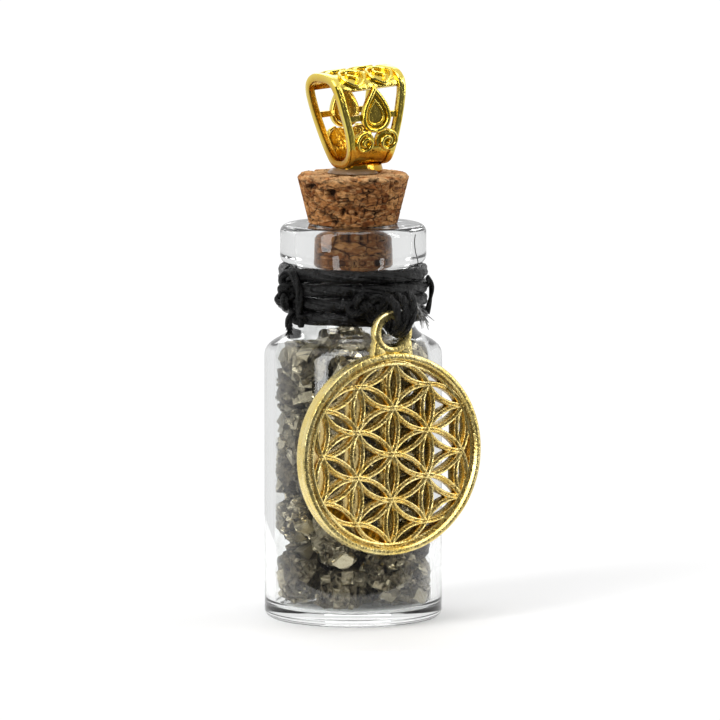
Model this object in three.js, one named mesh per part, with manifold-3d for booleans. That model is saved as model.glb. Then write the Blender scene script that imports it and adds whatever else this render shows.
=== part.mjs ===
// Mini glass bottle pendant: a corked bottle of mineral chips, with a cast bail on the cork
// and an openwork disc charm hung from the cord that is wound round the neck.
//
// Millimetres, +Z up. The origin is the centre of the bottle's flat base, on the surface it stands on.
// The charm faces -Y, and the bail's tunnel runs along X.

import * as THREE from "three";
import { ConvexGeometry } from "three/addons/geometries/ConvexGeometry.js";
import { mergeVertices } from "three/addons/utils/BufferGeometryUtils.js";
import Module from "manifold-3d";

const wasm = await Module();
wasm.setup();

// ---------------------------------------------------------------- driving dimensions

const ROUND_SEGMENTS = 44; // facets round the bottle and the cork, in the same phase
const RUNNING_GAP = 0.3; // between pieces that only rest on each other
const FACET_GAP = 0.08; // between two turned surfaces with the same facets

// Glass bottle
const BODY_RADIUS = 9.0;
const BODY_WALL = 1.0;
const BODY_STRAIGHT_TOP = 26.6; // where the straight wall ends and the shoulder starts
const BASE_THICKNESS = 1.2;
const HEEL_RADIUS = 0.8;
const INNER_CORNER_RADIUS = 1.0;
const NECK_RADIUS = 6.15;
const BORE_RADIUS = 4.0;
const SHOULDER_HEIGHT = 3.6;
const SHOULDER_LEAN = 0.56; // how far up the shoulder its curve stays upright
const NECK_HEIGHT = 5.8; // from the shoulder's end to the lip's underside
const LIP_RADIUS = 7.4;
const LIP_HEIGHT = 4.0;
const LIP_EDGE_RADIUS = 1.3;
const MOUTH_RADIUS = 0.7; // rounding of the mouth's inner edge

// Cork stopper
const CORK_TOP_RADIUS = 5.65;
const CORK_SWELL = 0.55; // radius gained from the bore to just above the mouth
const CORK_INSERTED = 4.1; // length inside the bore
const CORK_PROUD = 5.1; // length above the lip
const CORK_EDGE = 0.35; // worn edge at the top and the bottom
const STOPPER_CLEARANCE = 0.05;

// Bail and what holds it to the cork
const PEG_RADIUS = 0.7;
const PEG_LENGTH = 3.6;
const PEG_FLANGE_RADIUS = 1.7;
const PEG_FLANGE_THICKNESS = 0.35;
const PEG_CLEARANCE = 0.1;
const GLUE_WIDTH = 0.8;
const GLUE_HEIGHT = 0.45;
const BAIL_CROWN_WIDTH = 8.1; // along the tunnel
const BAIL_FOOT_WIDTH = 5.2;
const BAIL_DEPTH = 7.0; // across the tunnel
const BAIL_HEIGHT = 9.8;
const BAIL_WIDEST_AT = 6.8; // height of the deepest point above the foot
const BAIL_WALL = 1.0;
const BAIL_BLUNTNESS = 2.6; // 2 is an ellipse, more is squarer
const WINDOW_TOP = 0.78; // shares of the bail's height
const WINDOW_BOTTOM = 0.3;
const DROP_BOTTOM = 0.25;
const DROP_TOP = 0.84;
const DROP_HALF_WIDTH = 1.9;
const DROP_BAND = 0.75; // width of the drop's ring
const EYE_RADIUS = 0.5; // of the scrolls' eyes in the foot
const BAIL_LEAN = THREE.MathUtils.degToRad(4.5);
const BAIL_SHIFT_X = 0.9;

// Cord round the neck
const CORD_DIAMETER = 1.35;
const CORD_SIDES = 8;
const CORD_STEPS = 26; // round each turn
const CORD_START = THREE.MathUtils.degToRad(-35); // where the lowest turn begins
const CORD_SNUG = 0.06; // between the cord and the glass, and between its turns
const SIDE_KNOT_ANGLE = 180; // degrees round the neck from +X
const SIDE_KNOT = [1.35, 1.5, 0.65]; // half width, half height, half thickness
const CHARM_KNOT = [1.7, 1.2, 0.6]; // half width, half height, half thickness
const CHARM_KNOT_GAP = 0.5; // from the knot to the bight
const CHARM_KNOT_RISE = 0.5; // of the knot above the charm's bar
const FRAYED_ANGLE = -29;
const END_RADIUS = 0.42; // of a loose end of cord
const END_DROP = 0.9; // of a loose end below the neck

// Charm
const CHARM_RADIUS = 10.2;
const CHARM_RIM_WIDTH = 1.2;
const CHARM_THICKNESS = 1.8; // of the rim
const LATTICE_THICKNESS = 1.3;
const LATTICE_SUNK = 0.24; // of the outer crossings into the rim
const RIB_WIDTH = 0.5;
const RIB_STEPS = 5; // chords along one petal edge
const LOOP_HOLE_RADIUS = 1.3;
const LOOP_SECTION = 0.9;
const LOOP_SEGMENTS = 28;
const LOOP_THICKNESS = 1.2;
const LOOP_SUNK = 0.2; // of the loop into the rim
const CHARM_GAP = 0.2; // between the charm's back and the glass
const CHARM_SHIFT_X = -1.46;
const CHARM_ROLL = THREE.MathUtils.degToRad(1.1);
const CHARM_BAR_RISE = 1.55; // of the loop's top above the shoulder's end

// Mineral chips
const CHIP_COUNT = 45;
const CHIP_FILL_TOP = 1.9; // height of the heap above the straight wall
const CHIP_GAP = 0.3; // between chips
const CHIP_WALL_GAP = 0.25; // between a chip and the glass
const CHIP_DIRECTIONS = 26; // rays that shape a chip
const CHIP_SEED = 20;
const CHIP_CROWDING = 1.06; // distance kept between chips against their mean spacing
const CHIP_INSET = 0.4; // of a chip's middle from the glass, as a share of that distance
const SETTLING_ROUNDS = 400;
const SETTLING_PUSH = 0.25;

// ---------------------------------------------------------------- sizes worked out from them

const SHOULDER_TOP = BODY_STRAIGHT_TOP + SHOULDER_HEIGHT;
const LIP_BOTTOM = SHOULDER_TOP + NECK_HEIGHT;
const LIP_TOP = LIP_BOTTOM + LIP_HEIGHT;
const CORK_TOP = LIP_TOP + CORK_PROUD;
const CORD_RADIUS = CORD_DIAMETER / 2;
const WRAP_RADIUS = NECK_RADIUS + CORD_SNUG + CORD_RADIUS; // to the middle of the cord
const WRAP_OUTSIDE = WRAP_RADIUS + CORD_RADIUS;
const WRAP_TOP = LIP_BOTTOM - CORD_SNUG - CORD_RADIUS; // middle of the highest turn
const WRAP_BOTTOM = SHOULDER_TOP + CORD_SNUG + CORD_RADIUS;
const CORD_PITCH = CORD_DIAMETER + CORD_SNUG;
const CORD_TURNS = (WRAP_TOP - WRAP_BOTTOM) / CORD_PITCH; // as many as the neck has room for
const LOOP_RADIUS = LOOP_HOLE_RADIUS + LOOP_SECTION / 2;
const BAR_REACH = Math.hypot(LOOP_SECTION, LOOP_THICKNESS) / 2; // the loop's corner from its middle
const BIGHT_RADIUS = BAR_REACH + FACET_GAP + CORD_RADIUS; // middle of the bight round the loop's bar
const CHARM_PLANE = -Math.max(
  BODY_RADIUS + CHARM_GAP + CHARM_THICKNESS / 2,
  WRAP_OUTSIDE + RUNNING_GAP + BIGHT_RADIUS + CORD_RADIUS,
);
const BAR_ABOVE_CENTRE = CHARM_RADIUS - LOOP_SUNK + 2 * LOOP_HOLE_RADIUS + 1.5 * LOOP_SECTION;
const LATTICE_SPACING = (CHARM_RADIUS - CHARM_RIM_WIDTH + LATTICE_SUNK) / 2; // between crossings
const PETAL_REACH = (LATTICE_SPACING * Math.sqrt(3)) / 2; // from a petal's middle to an edge's centre
const BAR_Z = SHOULDER_TOP + CHARM_BAR_RISE;

// ---------------------------------------------------------------- helpers

// A repeatable stream of numbers from 0 to 1.
function seeded(seed) {
  let state = seed >>> 0;
  return () => {
    state = (Math.imul(state, 1664525) + 1013904223) >>> 0;
    return state / 4294967296;
  };
}

function material(color, roughness, metalness, opacity = 1) {
  return new THREE.MeshStandardMaterial({
    color,
    roughness,
    metalness,
    opacity,
    transparent: opacity < 1,
  });
}

function part(name, geometry, look) {
  const mesh = new THREE.Mesh(geometry, look);
  mesh.name = name;
  return mesh;
}

// Turns a profile of [radius, height] points round Z.
function turned(profile) {
  const points = profile.map(([radius, height]) => new THREE.Vector2(radius, height));
  const geometry = new THREE.LatheGeometry(points, ROUND_SEGMENTS);
  return geometry.rotateX(Math.PI / 2);
}

// Points on an arc of a profile, angles in degrees, both ends included.
function arc(centreR, centreZ, radius, fromDeg, toDeg, steps) {
  const points = [];
  for (let i = 0; i <= steps; i += 1) {
    const angle = THREE.MathUtils.degToRad(fromDeg + ((toDeg - fromDeg) * i) / steps);
    points.push([centreR + radius * Math.cos(angle), centreZ + radius * Math.sin(angle)]);
  }
  return points;
}

// Points on the S of a shoulder between a wide and a narrow radius.
function shoulder(wide, low, narrow, high, steps) {
  const rise = (high - low) * SHOULDER_LEAN;
  const curve = new THREE.CubicBezierCurve(
    new THREE.Vector2(wide, low),
    new THREE.Vector2(wide, low + rise),
    new THREE.Vector2(narrow, high - rise),
    new THREE.Vector2(narrow, high),
  );
  return curve.getPoints(steps).map((point) => [point.x, point.y]);
}

// The points of a closed shape, without the last one where it repeats the first.
function outlineOf(shape, curveSegments) {
  return shape.getPoints(curveSegments).slice(0, -1);
}

// Evenly spaced points round a circle.
function circle(x, y, radius, steps) {
  const points = [];
  for (let i = 0; i < steps; i += 1) {
    const angle = (2 * Math.PI * i) / steps;
    points.push(new THREE.Vector2(x + radius * Math.cos(angle), y + radius * Math.sin(angle)));
  }
  return points;
}

// A flat shape from its outline, turned anticlockwise, and the outlines of its holes.
function shapeOf(outline, ...holes) {
  if (THREE.ShapeUtils.isClockWise(outline)) outline.reverse();
  const shape = new THREE.Shape(outline);
  shape.holes = holes.map((hole) => new THREE.Path(hole));
  return shape;
}

// Extrudes a shape drawn in the plane of two axes along the third, centred on its middle.
function slab(shape, depth, plane) {
  const geometry = new THREE.ExtrudeGeometry(shape, { depth, bevelEnabled: false });
  geometry.translate(0, 0, -depth / 2);
  const x = new THREE.Vector3(1, 0, 0);
  const y = new THREE.Vector3(0, 1, 0);
  const z = new THREE.Vector3(0, 0, 1);
  const turn = new THREE.Matrix4();
  if (plane === "XZ") turn.makeBasis(x, z, y.clone().negate());
  if (plane === "YZ") turn.makeBasis(y, z, x);
  return geometry.applyMatrix4(turn);
}

// A section swept along a curve, with closed ends.
function cordAlong(curve, radius, steps) {
  const section = shapeOf(circle(0, 0, radius, CORD_SIDES));
  return new THREE.ExtrudeGeometry(section, { steps, extrudePath: curve, bevelEnabled: false });
}

function toSolid(geometry) {
  const bare = geometry.clone();
  bare.deleteAttribute("normal");
  bare.deleteAttribute("uv");
  const merged = mergeVertices(bare, 1e-4);
  return new wasm.Manifold(
    new wasm.Mesh({
      numProp: 3,
      vertProperties: merged.attributes.position.array,
      triVerts: new Uint32Array(merged.index.array),
    }),
  );
}

function fromSolid(solid) {
  const mesh = solid.getMesh();
  const geometry = new THREE.BufferGeometry();
  geometry.setAttribute("position", new THREE.BufferAttribute(mesh.vertProperties, 3));
  geometry.setIndex(new THREE.BufferAttribute(mesh.triVerts, 1));
  geometry.computeVertexNormals();
  return geometry;
}

// ---------------------------------------------------------------- bottle

function bottleInside() {
  const innerRadius = BODY_RADIUS - BODY_WALL;
  return [
    [0, BASE_THICKNESS],
    ...arc(
      innerRadius - INNER_CORNER_RADIUS,
      BASE_THICKNESS + INNER_CORNER_RADIUS,
      INNER_CORNER_RADIUS,
      -90,
      0,
      3,
    ),
    ...shoulder(innerRadius, BODY_STRAIGHT_TOP, BORE_RADIUS, SHOULDER_TOP, 6),
    ...arc(BORE_RADIUS + MOUTH_RADIUS, LIP_TOP - MOUTH_RADIUS, MOUTH_RADIUS, 180, 90, 3),
  ];
}

function bottleOutside() {
  const edge = LIP_EDGE_RADIUS;
  return [
    [0, 0],
    ...arc(BODY_RADIUS - HEEL_RADIUS, HEEL_RADIUS, HEEL_RADIUS, -90, 0, 3),
    ...shoulder(BODY_RADIUS, BODY_STRAIGHT_TOP, NECK_RADIUS, SHOULDER_TOP, 6),
    [NECK_RADIUS, LIP_BOTTOM],
    ...arc(LIP_RADIUS - edge / 2, LIP_BOTTOM + edge / 2, edge / 2, -90, 0, 2),
    ...arc(LIP_RADIUS - edge, LIP_TOP - edge, edge, 0, 90, 3),
  ];
}

function glassBottle() {
  const profile = [...bottleOutside(), ...bottleInside().reverse()];
  return turned(profile);
}

// ---------------------------------------------------------------- stopper

function corkStopper() {
  const inBore = BORE_RADIUS - FACET_GAP;
  const bottom = LIP_TOP - CORK_INSERTED;
  const holeRadius = PEG_RADIUS + PEG_CLEARANCE;
  const holeBottom = CORK_TOP - PEG_LENGTH - PEG_CLEARANCE;
  const flareStart = LIP_TOP - MOUTH_RADIUS;
  return turned([
    [0, bottom],
    [inBore - CORK_EDGE, bottom],
    [inBore, bottom + CORK_EDGE],
    [inBore, flareStart],
    [inBore + STOPPER_CLEARANCE, LIP_TOP - MOUTH_RADIUS / 2],
    [BORE_RADIUS + CORK_SWELL, LIP_TOP + STOPPER_CLEARANCE],
    [CORK_TOP_RADIUS, CORK_TOP - CORK_EDGE],
    [CORK_TOP_RADIUS - CORK_EDGE, CORK_TOP],
    [holeRadius, CORK_TOP],
    [holeRadius, holeBottom],
    [0, holeBottom],
  ]);
}

function bailPeg() {
  const underFlange = CORK_TOP + FACET_GAP;
  const top = underFlange + PEG_FLANGE_THICKNESS;
  return turned([
    [0, CORK_TOP - PEG_LENGTH],
    [PEG_RADIUS, CORK_TOP - PEG_LENGTH],
    [PEG_RADIUS, underFlange],
    [PEG_FLANGE_RADIUS, underFlange],
    [PEG_FLANGE_RADIUS, top],
    [0, top],
  ]);
}

function glueBead() {
  const inside = PEG_FLANGE_RADIUS + FACET_GAP;
  const bottom = CORK_TOP + FACET_GAP;
  return turned([
    [inside, bottom],
    [inside + GLUE_WIDTH, bottom],
    [inside + GLUE_WIDTH * 0.75, bottom + GLUE_HEIGHT * 0.6],
    [inside + GLUE_WIDTH * 0.3, bottom + GLUE_HEIGHT],
    [inside, bottom + GLUE_HEIGHT],
    [inside, bottom],
  ]);
}

// The bail's closed outline across the tunnel: a blunt crown above a tapering lower half.
function bailOutline(inset, steps) {
  const half = BAIL_DEPTH / 2 - inset;
  const up = BAIL_HEIGHT - BAIL_WIDEST_AT - inset;
  const down = BAIL_WIDEST_AT - inset;
  const power = 2 / BAIL_BLUNTNESS;
  const points = [];
  for (let i = 0; i < steps; i += 1) {
    const angle = (2 * Math.PI * i) / steps;
    const c = Math.cos(angle);
    const s = Math.sin(angle);
    const y = half * Math.sign(c) * Math.abs(c) ** power;
    const z = (s > 0 ? up : down) * Math.sign(s) * Math.abs(s) ** power;
    points.push(new THREE.Vector2(y, BAIL_WIDEST_AT + z));
  }
  return points;
}

// The bail as seen from the front: wide at the crown, narrow at the foot.
function bailSilhouette() {
  const crown = BAIL_CROWN_WIDTH / 2;
  const foot = BAIL_FOOT_WIDTH / 2;
  const shape = new THREE.Shape();
  shape.moveTo(-foot, -1);
  shape.lineTo(foot, -1);
  shape.lineTo(foot, BAIL_HEIGHT * 0.1);
  shape.bezierCurveTo(
    foot + 0.5,
    BAIL_HEIGHT * 0.35,
    crown - 0.3,
    BAIL_HEIGHT * 0.5,
    crown,
    BAIL_HEIGHT * 0.85,
  );
  shape.lineTo(crown, BAIL_HEIGHT + 1);
  shape.lineTo(-crown, BAIL_HEIGHT + 1);
  shape.lineTo(-crown, BAIL_HEIGHT * 0.85);
  shape.bezierCurveTo(
    -crown + 0.3,
    BAIL_HEIGHT * 0.5,
    -foot - 0.5,
    BAIL_HEIGHT * 0.35,
    -foot,
    BAIL_HEIGHT * 0.1,
  );
  return shapeOf(shape.getPoints(5));
}

// The opening in the front and back walls, inside a rim of one wall's width.
function bailWindow() {
  const top = BAIL_HEIGHT * WINDOW_TOP;
  const bottom = BAIL_HEIGHT * WINDOW_BOTTOM;
  const wide = BAIL_CROWN_WIDTH / 2 - BAIL_WALL * 1.25;
  const narrow = BAIL_FOOT_WIDTH / 2 - BAIL_WALL * 0.55;
  const shape = new THREE.Shape();
  shape.moveTo(-narrow * 0.6, bottom);
  shape.lineTo(narrow * 0.6, bottom);
  shape.quadraticCurveTo(wide * 0.9, BAIL_HEIGHT * 0.45, wide, top - 0.5);
  shape.quadraticCurveTo(wide, top, wide - 0.5, top);
  shape.lineTo(-wide + 0.5, top);
  shape.quadraticCurveTo(-wide, top, -wide, top - 0.5);
  shape.quadraticCurveTo(-wide * 0.9, BAIL_HEIGHT * 0.45, -narrow * 0.6, bottom);
  return shapeOf(outlineOf(shape, 4));
}

// A drop with its tip up, between two heights, half as wide as given.
function drop(low, high, halfWidth) {
  const height = high - low;
  const shape = new THREE.Shape();
  shape.moveTo(0, high);
  shape.bezierCurveTo(
    halfWidth * 0.4,
    high - height * 0.25,
    halfWidth,
    low + height * 0.55,
    halfWidth,
    low + height * 0.34,
  );
  shape.bezierCurveTo(halfWidth, low, -halfWidth, low, -halfWidth, low + height * 0.34);
  shape.bezierCurveTo(
    -halfWidth,
    low + height * 0.55,
    -halfWidth * 0.4,
    high - height * 0.25,
    0,
    high,
  );
  return outlineOf(shape, 6);
}

// A lens between two tips on a line, bulging to both sides.
function lens(x, halfWidth, halfLength) {
  const shape = new THREE.Shape();
  shape.moveTo(x, -halfLength);
  shape.quadraticCurveTo(x + 2 * halfWidth, 0, x, halfLength);
  shape.quadraticCurveTo(x - 2 * halfWidth, 0, x, -halfLength);
  return shapeOf(outlineOf(shape, 4));
}

function bail() {
  const through = BAIL_DEPTH * 2;
  const ring = shapeOf(bailOutline(0, 36), bailOutline(BAIL_WALL, 36));
  const band = toSolid(slab(ring, BAIL_CROWN_WIDTH * 1.2, "YZ")).intersect(
    toSolid(slab(bailSilhouette(), through, "XZ")),
  );

  const low = BAIL_HEIGHT * DROP_BOTTOM;
  const high = BAIL_HEIGHT * DROP_TOP;
  const dropRing = shapeOf(
    drop(low, high, DROP_HALF_WIDTH),
    drop(low + DROP_BAND, high - 2 * DROP_BAND, DROP_HALF_WIDTH - DROP_BAND),
  );
  const drops = toSolid(slab(dropRing, through, "XZ")).intersect(band);

  let openwork = band.subtract(toSolid(slab(bailWindow(), through, "XZ"))).add(drops);
  for (const side of [-1, 1]) {
    const crownX = (side * BAIL_CROWN_WIDTH) / 4.2;
    const leaf = slab(lens(crownX, 0.85, BAIL_DEPTH * 0.27), BAIL_HEIGHT * 0.4, "XY");
    leaf.translate(0, 0, BAIL_HEIGHT);
    openwork = openwork.subtract(toSolid(leaf));
    const eye = shapeOf(
      circle(side * BAIL_FOOT_WIDTH * 0.24, BAIL_HEIGHT * 0.2, EYE_RADIUS, 10),
    );
    openwork = openwork.subtract(toSolid(slab(eye, through, "XZ")));
  }
  return fromSolid(openwork);
}

// ---------------------------------------------------------------- cord

class NeckHelix extends THREE.Curve {
  getPoint(t, target = new THREE.Vector3()) {
    const angle = CORD_START + t * CORD_TURNS * 2 * Math.PI;
    const height = WRAP_BOTTOM + t * CORD_TURNS * CORD_PITCH;
    return target.set(WRAP_RADIUS * Math.cos(angle), WRAP_RADIUS * Math.sin(angle), height);
  }
}

function neckCord() {
  return cordAlong(new NeckHelix(), CORD_RADIUS, Math.round(CORD_TURNS * CORD_STEPS));
}

// A knot as a flattened ball outside the wraps, at an angle round the neck.
function knot(angleDeg, height, halfWidth, halfHeight, halfThickness) {
  const geometry = new THREE.SphereGeometry(1, 10, 8);
  geometry.scale(halfThickness, halfWidth, halfHeight);
  geometry.translate(WRAP_OUTSIDE + CORD_SNUG + halfThickness, 0, height);
  return geometry.rotateZ(THREE.MathUtils.degToRad(angleDeg));
}

// A short loose end that hangs outside the wraps, at an angle round the neck.
function looseEnd(angleDeg, high, low, radius) {
  const out = WRAP_OUTSIDE + CORD_SNUG + radius;
  const angle = THREE.MathUtils.degToRad(angleDeg);
  const spread = END_DROP * 0.7;
  const at = (distance, height) =>
    new THREE.Vector3(distance * Math.cos(angle), distance * Math.sin(angle), height);
  const curve = new THREE.QuadraticBezierCurve3(
    at(out, high),
    at(out, (high + low) / 2),
    at(out + spread, low),
  );
  return cordAlong(curve, radius, 4);
}

// The bight: a closed ring of cord round the charm's bar, its back half drawn out to the wraps.
function hangerBight() {
  const geometry = new THREE.TorusGeometry(BIGHT_RADIUS, CORD_RADIUS, CORD_SIDES, 20);
  geometry.rotateY(Math.PI / 2);
  const back = -(WRAP_OUTSIDE + RUNNING_GAP) - (BIGHT_RADIUS + CORD_RADIUS);
  const stretch = back - CHARM_PLANE;
  const points = geometry.attributes.position;
  for (let i = 0; i < points.count; i += 1) {
    const share = Math.max(0, points.getY(i)) / (BIGHT_RADIUS + CORD_RADIUS);
    points.setY(i, points.getY(i) + CHARM_PLANE + stretch * share ** 2);
  }
  return geometry;
}

// ---------------------------------------------------------------- charm

// The crossings of the lattice: a centre and two rings of six-sided spacing, columns upright.
function crossings() {
  const across = new THREE.Vector2(Math.cos(Math.PI / 6), Math.sin(Math.PI / 6));
  const found = [];
  for (let i = -2; i <= 2; i += 1) {
    for (let j = -2; j <= 2; j += 1) {
      if (Math.abs(i + j) > 2) continue;
      found.push(
        new THREE.Vector2(across.x * i, across.y * i + j).multiplyScalar(LATTICE_SPACING),
      );
    }
  }
  return found;
}

// Points of a circular arc from one point to another about a centre, ends included.
function arcBetween(centre, radius, from, to, steps) {
  const start = Math.atan2(from.y - centre.y, from.x - centre.x);
  let sweep = Math.atan2(to.y - centre.y, to.x - centre.x) - start;
  if (sweep > Math.PI) sweep -= 2 * Math.PI;
  if (sweep < -Math.PI) sweep += 2 * Math.PI;
  const points = [];
  for (let i = 0; i <= steps; i += 1) {
    const angle = start + (sweep * i) / steps;
    points.push(
      new THREE.Vector2(
        centre.x + radius * Math.cos(angle),
        centre.y + radius * Math.sin(angle),
      ),
    );
  }
  return points;
}

// The lens-shaped hole inside a petal from a to b, clear of the ribs along both its edges.
function petalHole(a, b) {
  const middle = a.clone().add(b).multiplyScalar(0.5);
  const along = b.clone().sub(a).normalize();
  const side = new THREE.Vector2(-along.y, along.x);
  const radius = LATTICE_SPACING - RIB_WIDTH / 2;
  const tip = Math.sqrt(radius ** 2 - PETAL_REACH ** 2);
  const from = middle.clone().addScaledVector(along, -tip);
  const to = middle.clone().addScaledVector(along, tip);
  const left = middle.clone().addScaledVector(side, -PETAL_REACH);
  const right = middle.clone().addScaledVector(side, PETAL_REACH);
  const oneEdge = arcBetween(left, radius, from, to, RIB_STEPS);
  const otherEdge = arcBetween(right, radius, to, from, RIB_STEPS);
  return [...oneEdge.slice(0, -1), ...otherEdge.slice(0, -1)];
}

// Sorts a hole's points round its middle.
function sortedRound(centre, points) {
  const angleOf = (point) => Math.atan2(point.y - centre.y, point.x - centre.x);
  return points.sort((p, q) => angleOf(p) - angleOf(q));
}

// The hole between three petals: each side is bowed inwards by the petal beside it.
function triangleHole(a, b, c) {
  const radius = LATTICE_SPACING + RIB_WIDTH / 2;
  const sides = [
    [a, b, c],
    [b, c, a],
    [c, a, b],
  ];
  const bowCentres = sides.map(([p, q, opposite]) => {
    const middle = p.clone().add(q).multiplyScalar(0.5);
    return middle.addScaledVector(middle.clone().sub(opposite).normalize(), PETAL_REACH);
  });
  const clear = (point) => bowCentres.every((centre) => point.distanceTo(centre) > radius - 1e-6);
  const points = sides.flatMap(([p, q], k) =>
    arcBetween(bowCentres[k], radius, p, q, 2 * RIB_STEPS).filter(clear),
  );
  const centre = a.clone().add(b).add(c).multiplyScalar(1 / 3);
  return sortedRound(centre, points);
}

// The shallow hole between the lattice's edge and the rim, outside the crossing b of a side.
function edgeHole(a, b, c) {
  const rimRadius = CHARM_RADIUS - CHARM_RIM_WIDTH;
  const radius = LATTICE_SPACING + RIB_WIDTH / 2;
  const sides = [
    [a, b],
    [b, c],
  ];
  const bowCentres = sides.map(([p, q]) => {
    const inward = new THREE.Vector2(p.y - q.y, q.x - p.x).normalize();
    return p.clone().add(q).multiplyScalar(0.5).addScaledVector(inward, PETAL_REACH);
  });
  const clear = (point) =>
    bowCentres.every((centre) => point.distanceTo(centre) > radius - 1e-6) &&
    point.length() < rimRadius + 1e-6;
  const points = sides.flatMap(([p, q], k) =>
    arcBetween(bowCentres[k], radius, p, q, 4 * RIB_STEPS).filter(clear),
  );
  const origin = new THREE.Vector2();
  const rimStart = a.clone().setLength(rimRadius);
  const rimEnd = c.clone().setLength(rimRadius);
  points.push(...arcBetween(origin, rimRadius, rimStart, rimEnd, 8 * RIB_STEPS).filter(clear));
  return sortedRound(b.clone().setLength((b.length() + rimRadius) / 2), points);
}

function latticePlate() {
  const holes = [];
  const nodes = crossings();
  const near = (p, q) => Math.abs(p.distanceTo(q) - LATTICE_SPACING) < 0.01;
  nodes.forEach((a, i) => {
    nodes.slice(i + 1).forEach((b, j) => {
      if (!near(a, b)) return;
      holes.push(petalHole(a, b));
      nodes.slice(i + j + 2).forEach((c) => {
        if (near(a, c) && near(b, c)) holes.push(triangleHole(a, b, c));
      });
    });
  });
  for (let k = 0; k < 6; k += 1) {
    const at = (degrees, distance) =>
      new THREE.Vector2(distance, 0).rotateAround(
        new THREE.Vector2(),
        THREE.MathUtils.degToRad(degrees + 60 * k),
      );
    const reach = 2 * LATTICE_SPACING;
    holes.push(edgeHole(at(30, reach), at(60, (reach * Math.sqrt(3)) / 2), at(90, reach)));
  }
  const edge = circle(0, 0, CHARM_RADIUS - CHARM_RIM_WIDTH / 2, ROUND_SEGMENTS);
  return slab(shapeOf(edge, ...holes), LATTICE_THICKNESS, "XZ");
}

function charmDisc() {
  const rim = shapeOf(
    circle(0, 0, CHARM_RADIUS, ROUND_SEGMENTS),
    circle(0, 0, CHARM_RADIUS - CHARM_RIM_WIDTH, ROUND_SEGMENTS),
  );
  const loopAt = BAR_ABOVE_CENTRE - LOOP_RADIUS;
  const loop = shapeOf(
    circle(0, loopAt, LOOP_HOLE_RADIUS + LOOP_SECTION, LOOP_SEGMENTS),
    circle(0, loopAt, LOOP_HOLE_RADIUS, LOOP_SEGMENTS),
  );
  return fromSolid(
    toSolid(latticePlate())
      .add(toSolid(slab(rim, CHARM_THICKNESS, "XZ")))
      .add(toSolid(slab(loop, LOOP_THICKNESS, "XZ"))),
  );
}

// ---------------------------------------------------------------- chips

// The radius of the room for chips at a height: the bottle's inner profile up to the middle of
// the shoulder, then straight on at its slope there, so the room has no inward corner.
function roomRadius(height) {
  const innerRadius = BODY_RADIUS - BODY_WALL;
  const middle = (BODY_STRAIGHT_TOP + SHOULDER_TOP) / 2;
  if (height > middle) {
    const slope = (innerRadius - BORE_RADIUS) / (SHOULDER_HEIGHT * (1 - SHOULDER_LEAN));
    return Math.max(0, (innerRadius + BORE_RADIUS) / 2 - slope * (height - middle));
  }
  const profile = bottleInside();
  for (let i = 1; i < profile.length; i += 1) {
    const [lowR, lowZ] = profile[i - 1];
    const [highR, highZ] = profile[i];
    if (height >= lowZ && height <= highZ && highZ > lowZ) {
      return lowR + ((highR - lowR) * (height - lowZ)) / (highZ - lowZ);
    }
  }
  return 0;
}

function inCavity(point) {
  const margin = CHIP_WALL_GAP;
  if (point.z < BASE_THICKNESS + margin) return false;
  const room = Math.min(roomRadius(point.z - margin), roomRadius(point.z + margin));
  return Math.hypot(point.x, point.y) < room - margin;
}

// Middles of the chips: seeded points that push each other apart inside the cavity as they settle.
function chipCentres() {
  const random = seeded(CHIP_SEED);
  const innerRadius = BODY_RADIUS - BODY_WALL;
  const top = BODY_STRAIGHT_TOP + CHIP_FILL_TOP;
  const height = top - BASE_THICKNESS;
  const volume = Math.PI * innerRadius ** 2 * height;
  const size = Math.cbrt(volume / CHIP_COUNT) * CHIP_CROWDING;
  const inset = size * CHIP_INSET;
  const centres = [];
  for (let i = 0; i < CHIP_COUNT; i += 1) {
    const angle = 2 * Math.PI * random();
    const radius = innerRadius * Math.sqrt(random());
    const z = BASE_THICKNESS + height * ((i + random()) / CHIP_COUNT);
    centres.push(new THREE.Vector3(radius * Math.cos(angle), radius * Math.sin(angle), z));
  }
  for (let round = 0; round < SETTLING_ROUNDS; round += 1) {
    for (let i = 0; i < CHIP_COUNT; i += 1) {
      for (let j = i + 1; j < CHIP_COUNT; j += 1) {
        const apart = centres[j].clone().sub(centres[i]);
        const distance = apart.length();
        if (distance >= size) continue;
        apart.multiplyScalar((SETTLING_PUSH * (size - distance)) / distance);
        centres[i].sub(apart);
        centres[j].add(apart);
      }
      const centre = centres[i];
      centre.z = THREE.MathUtils.clamp(centre.z, BASE_THICKNESS + inset, top - inset);
      const room = Math.max(0, roomRadius(centre.z + inset * 0.5) - inset);
      const radius = Math.hypot(centre.x, centre.y);
      if (radius > room) {
        centre.x *= room / radius;
        centre.y *= room / radius;
      }
    }
  }
  return { centres, size };
}

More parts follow.
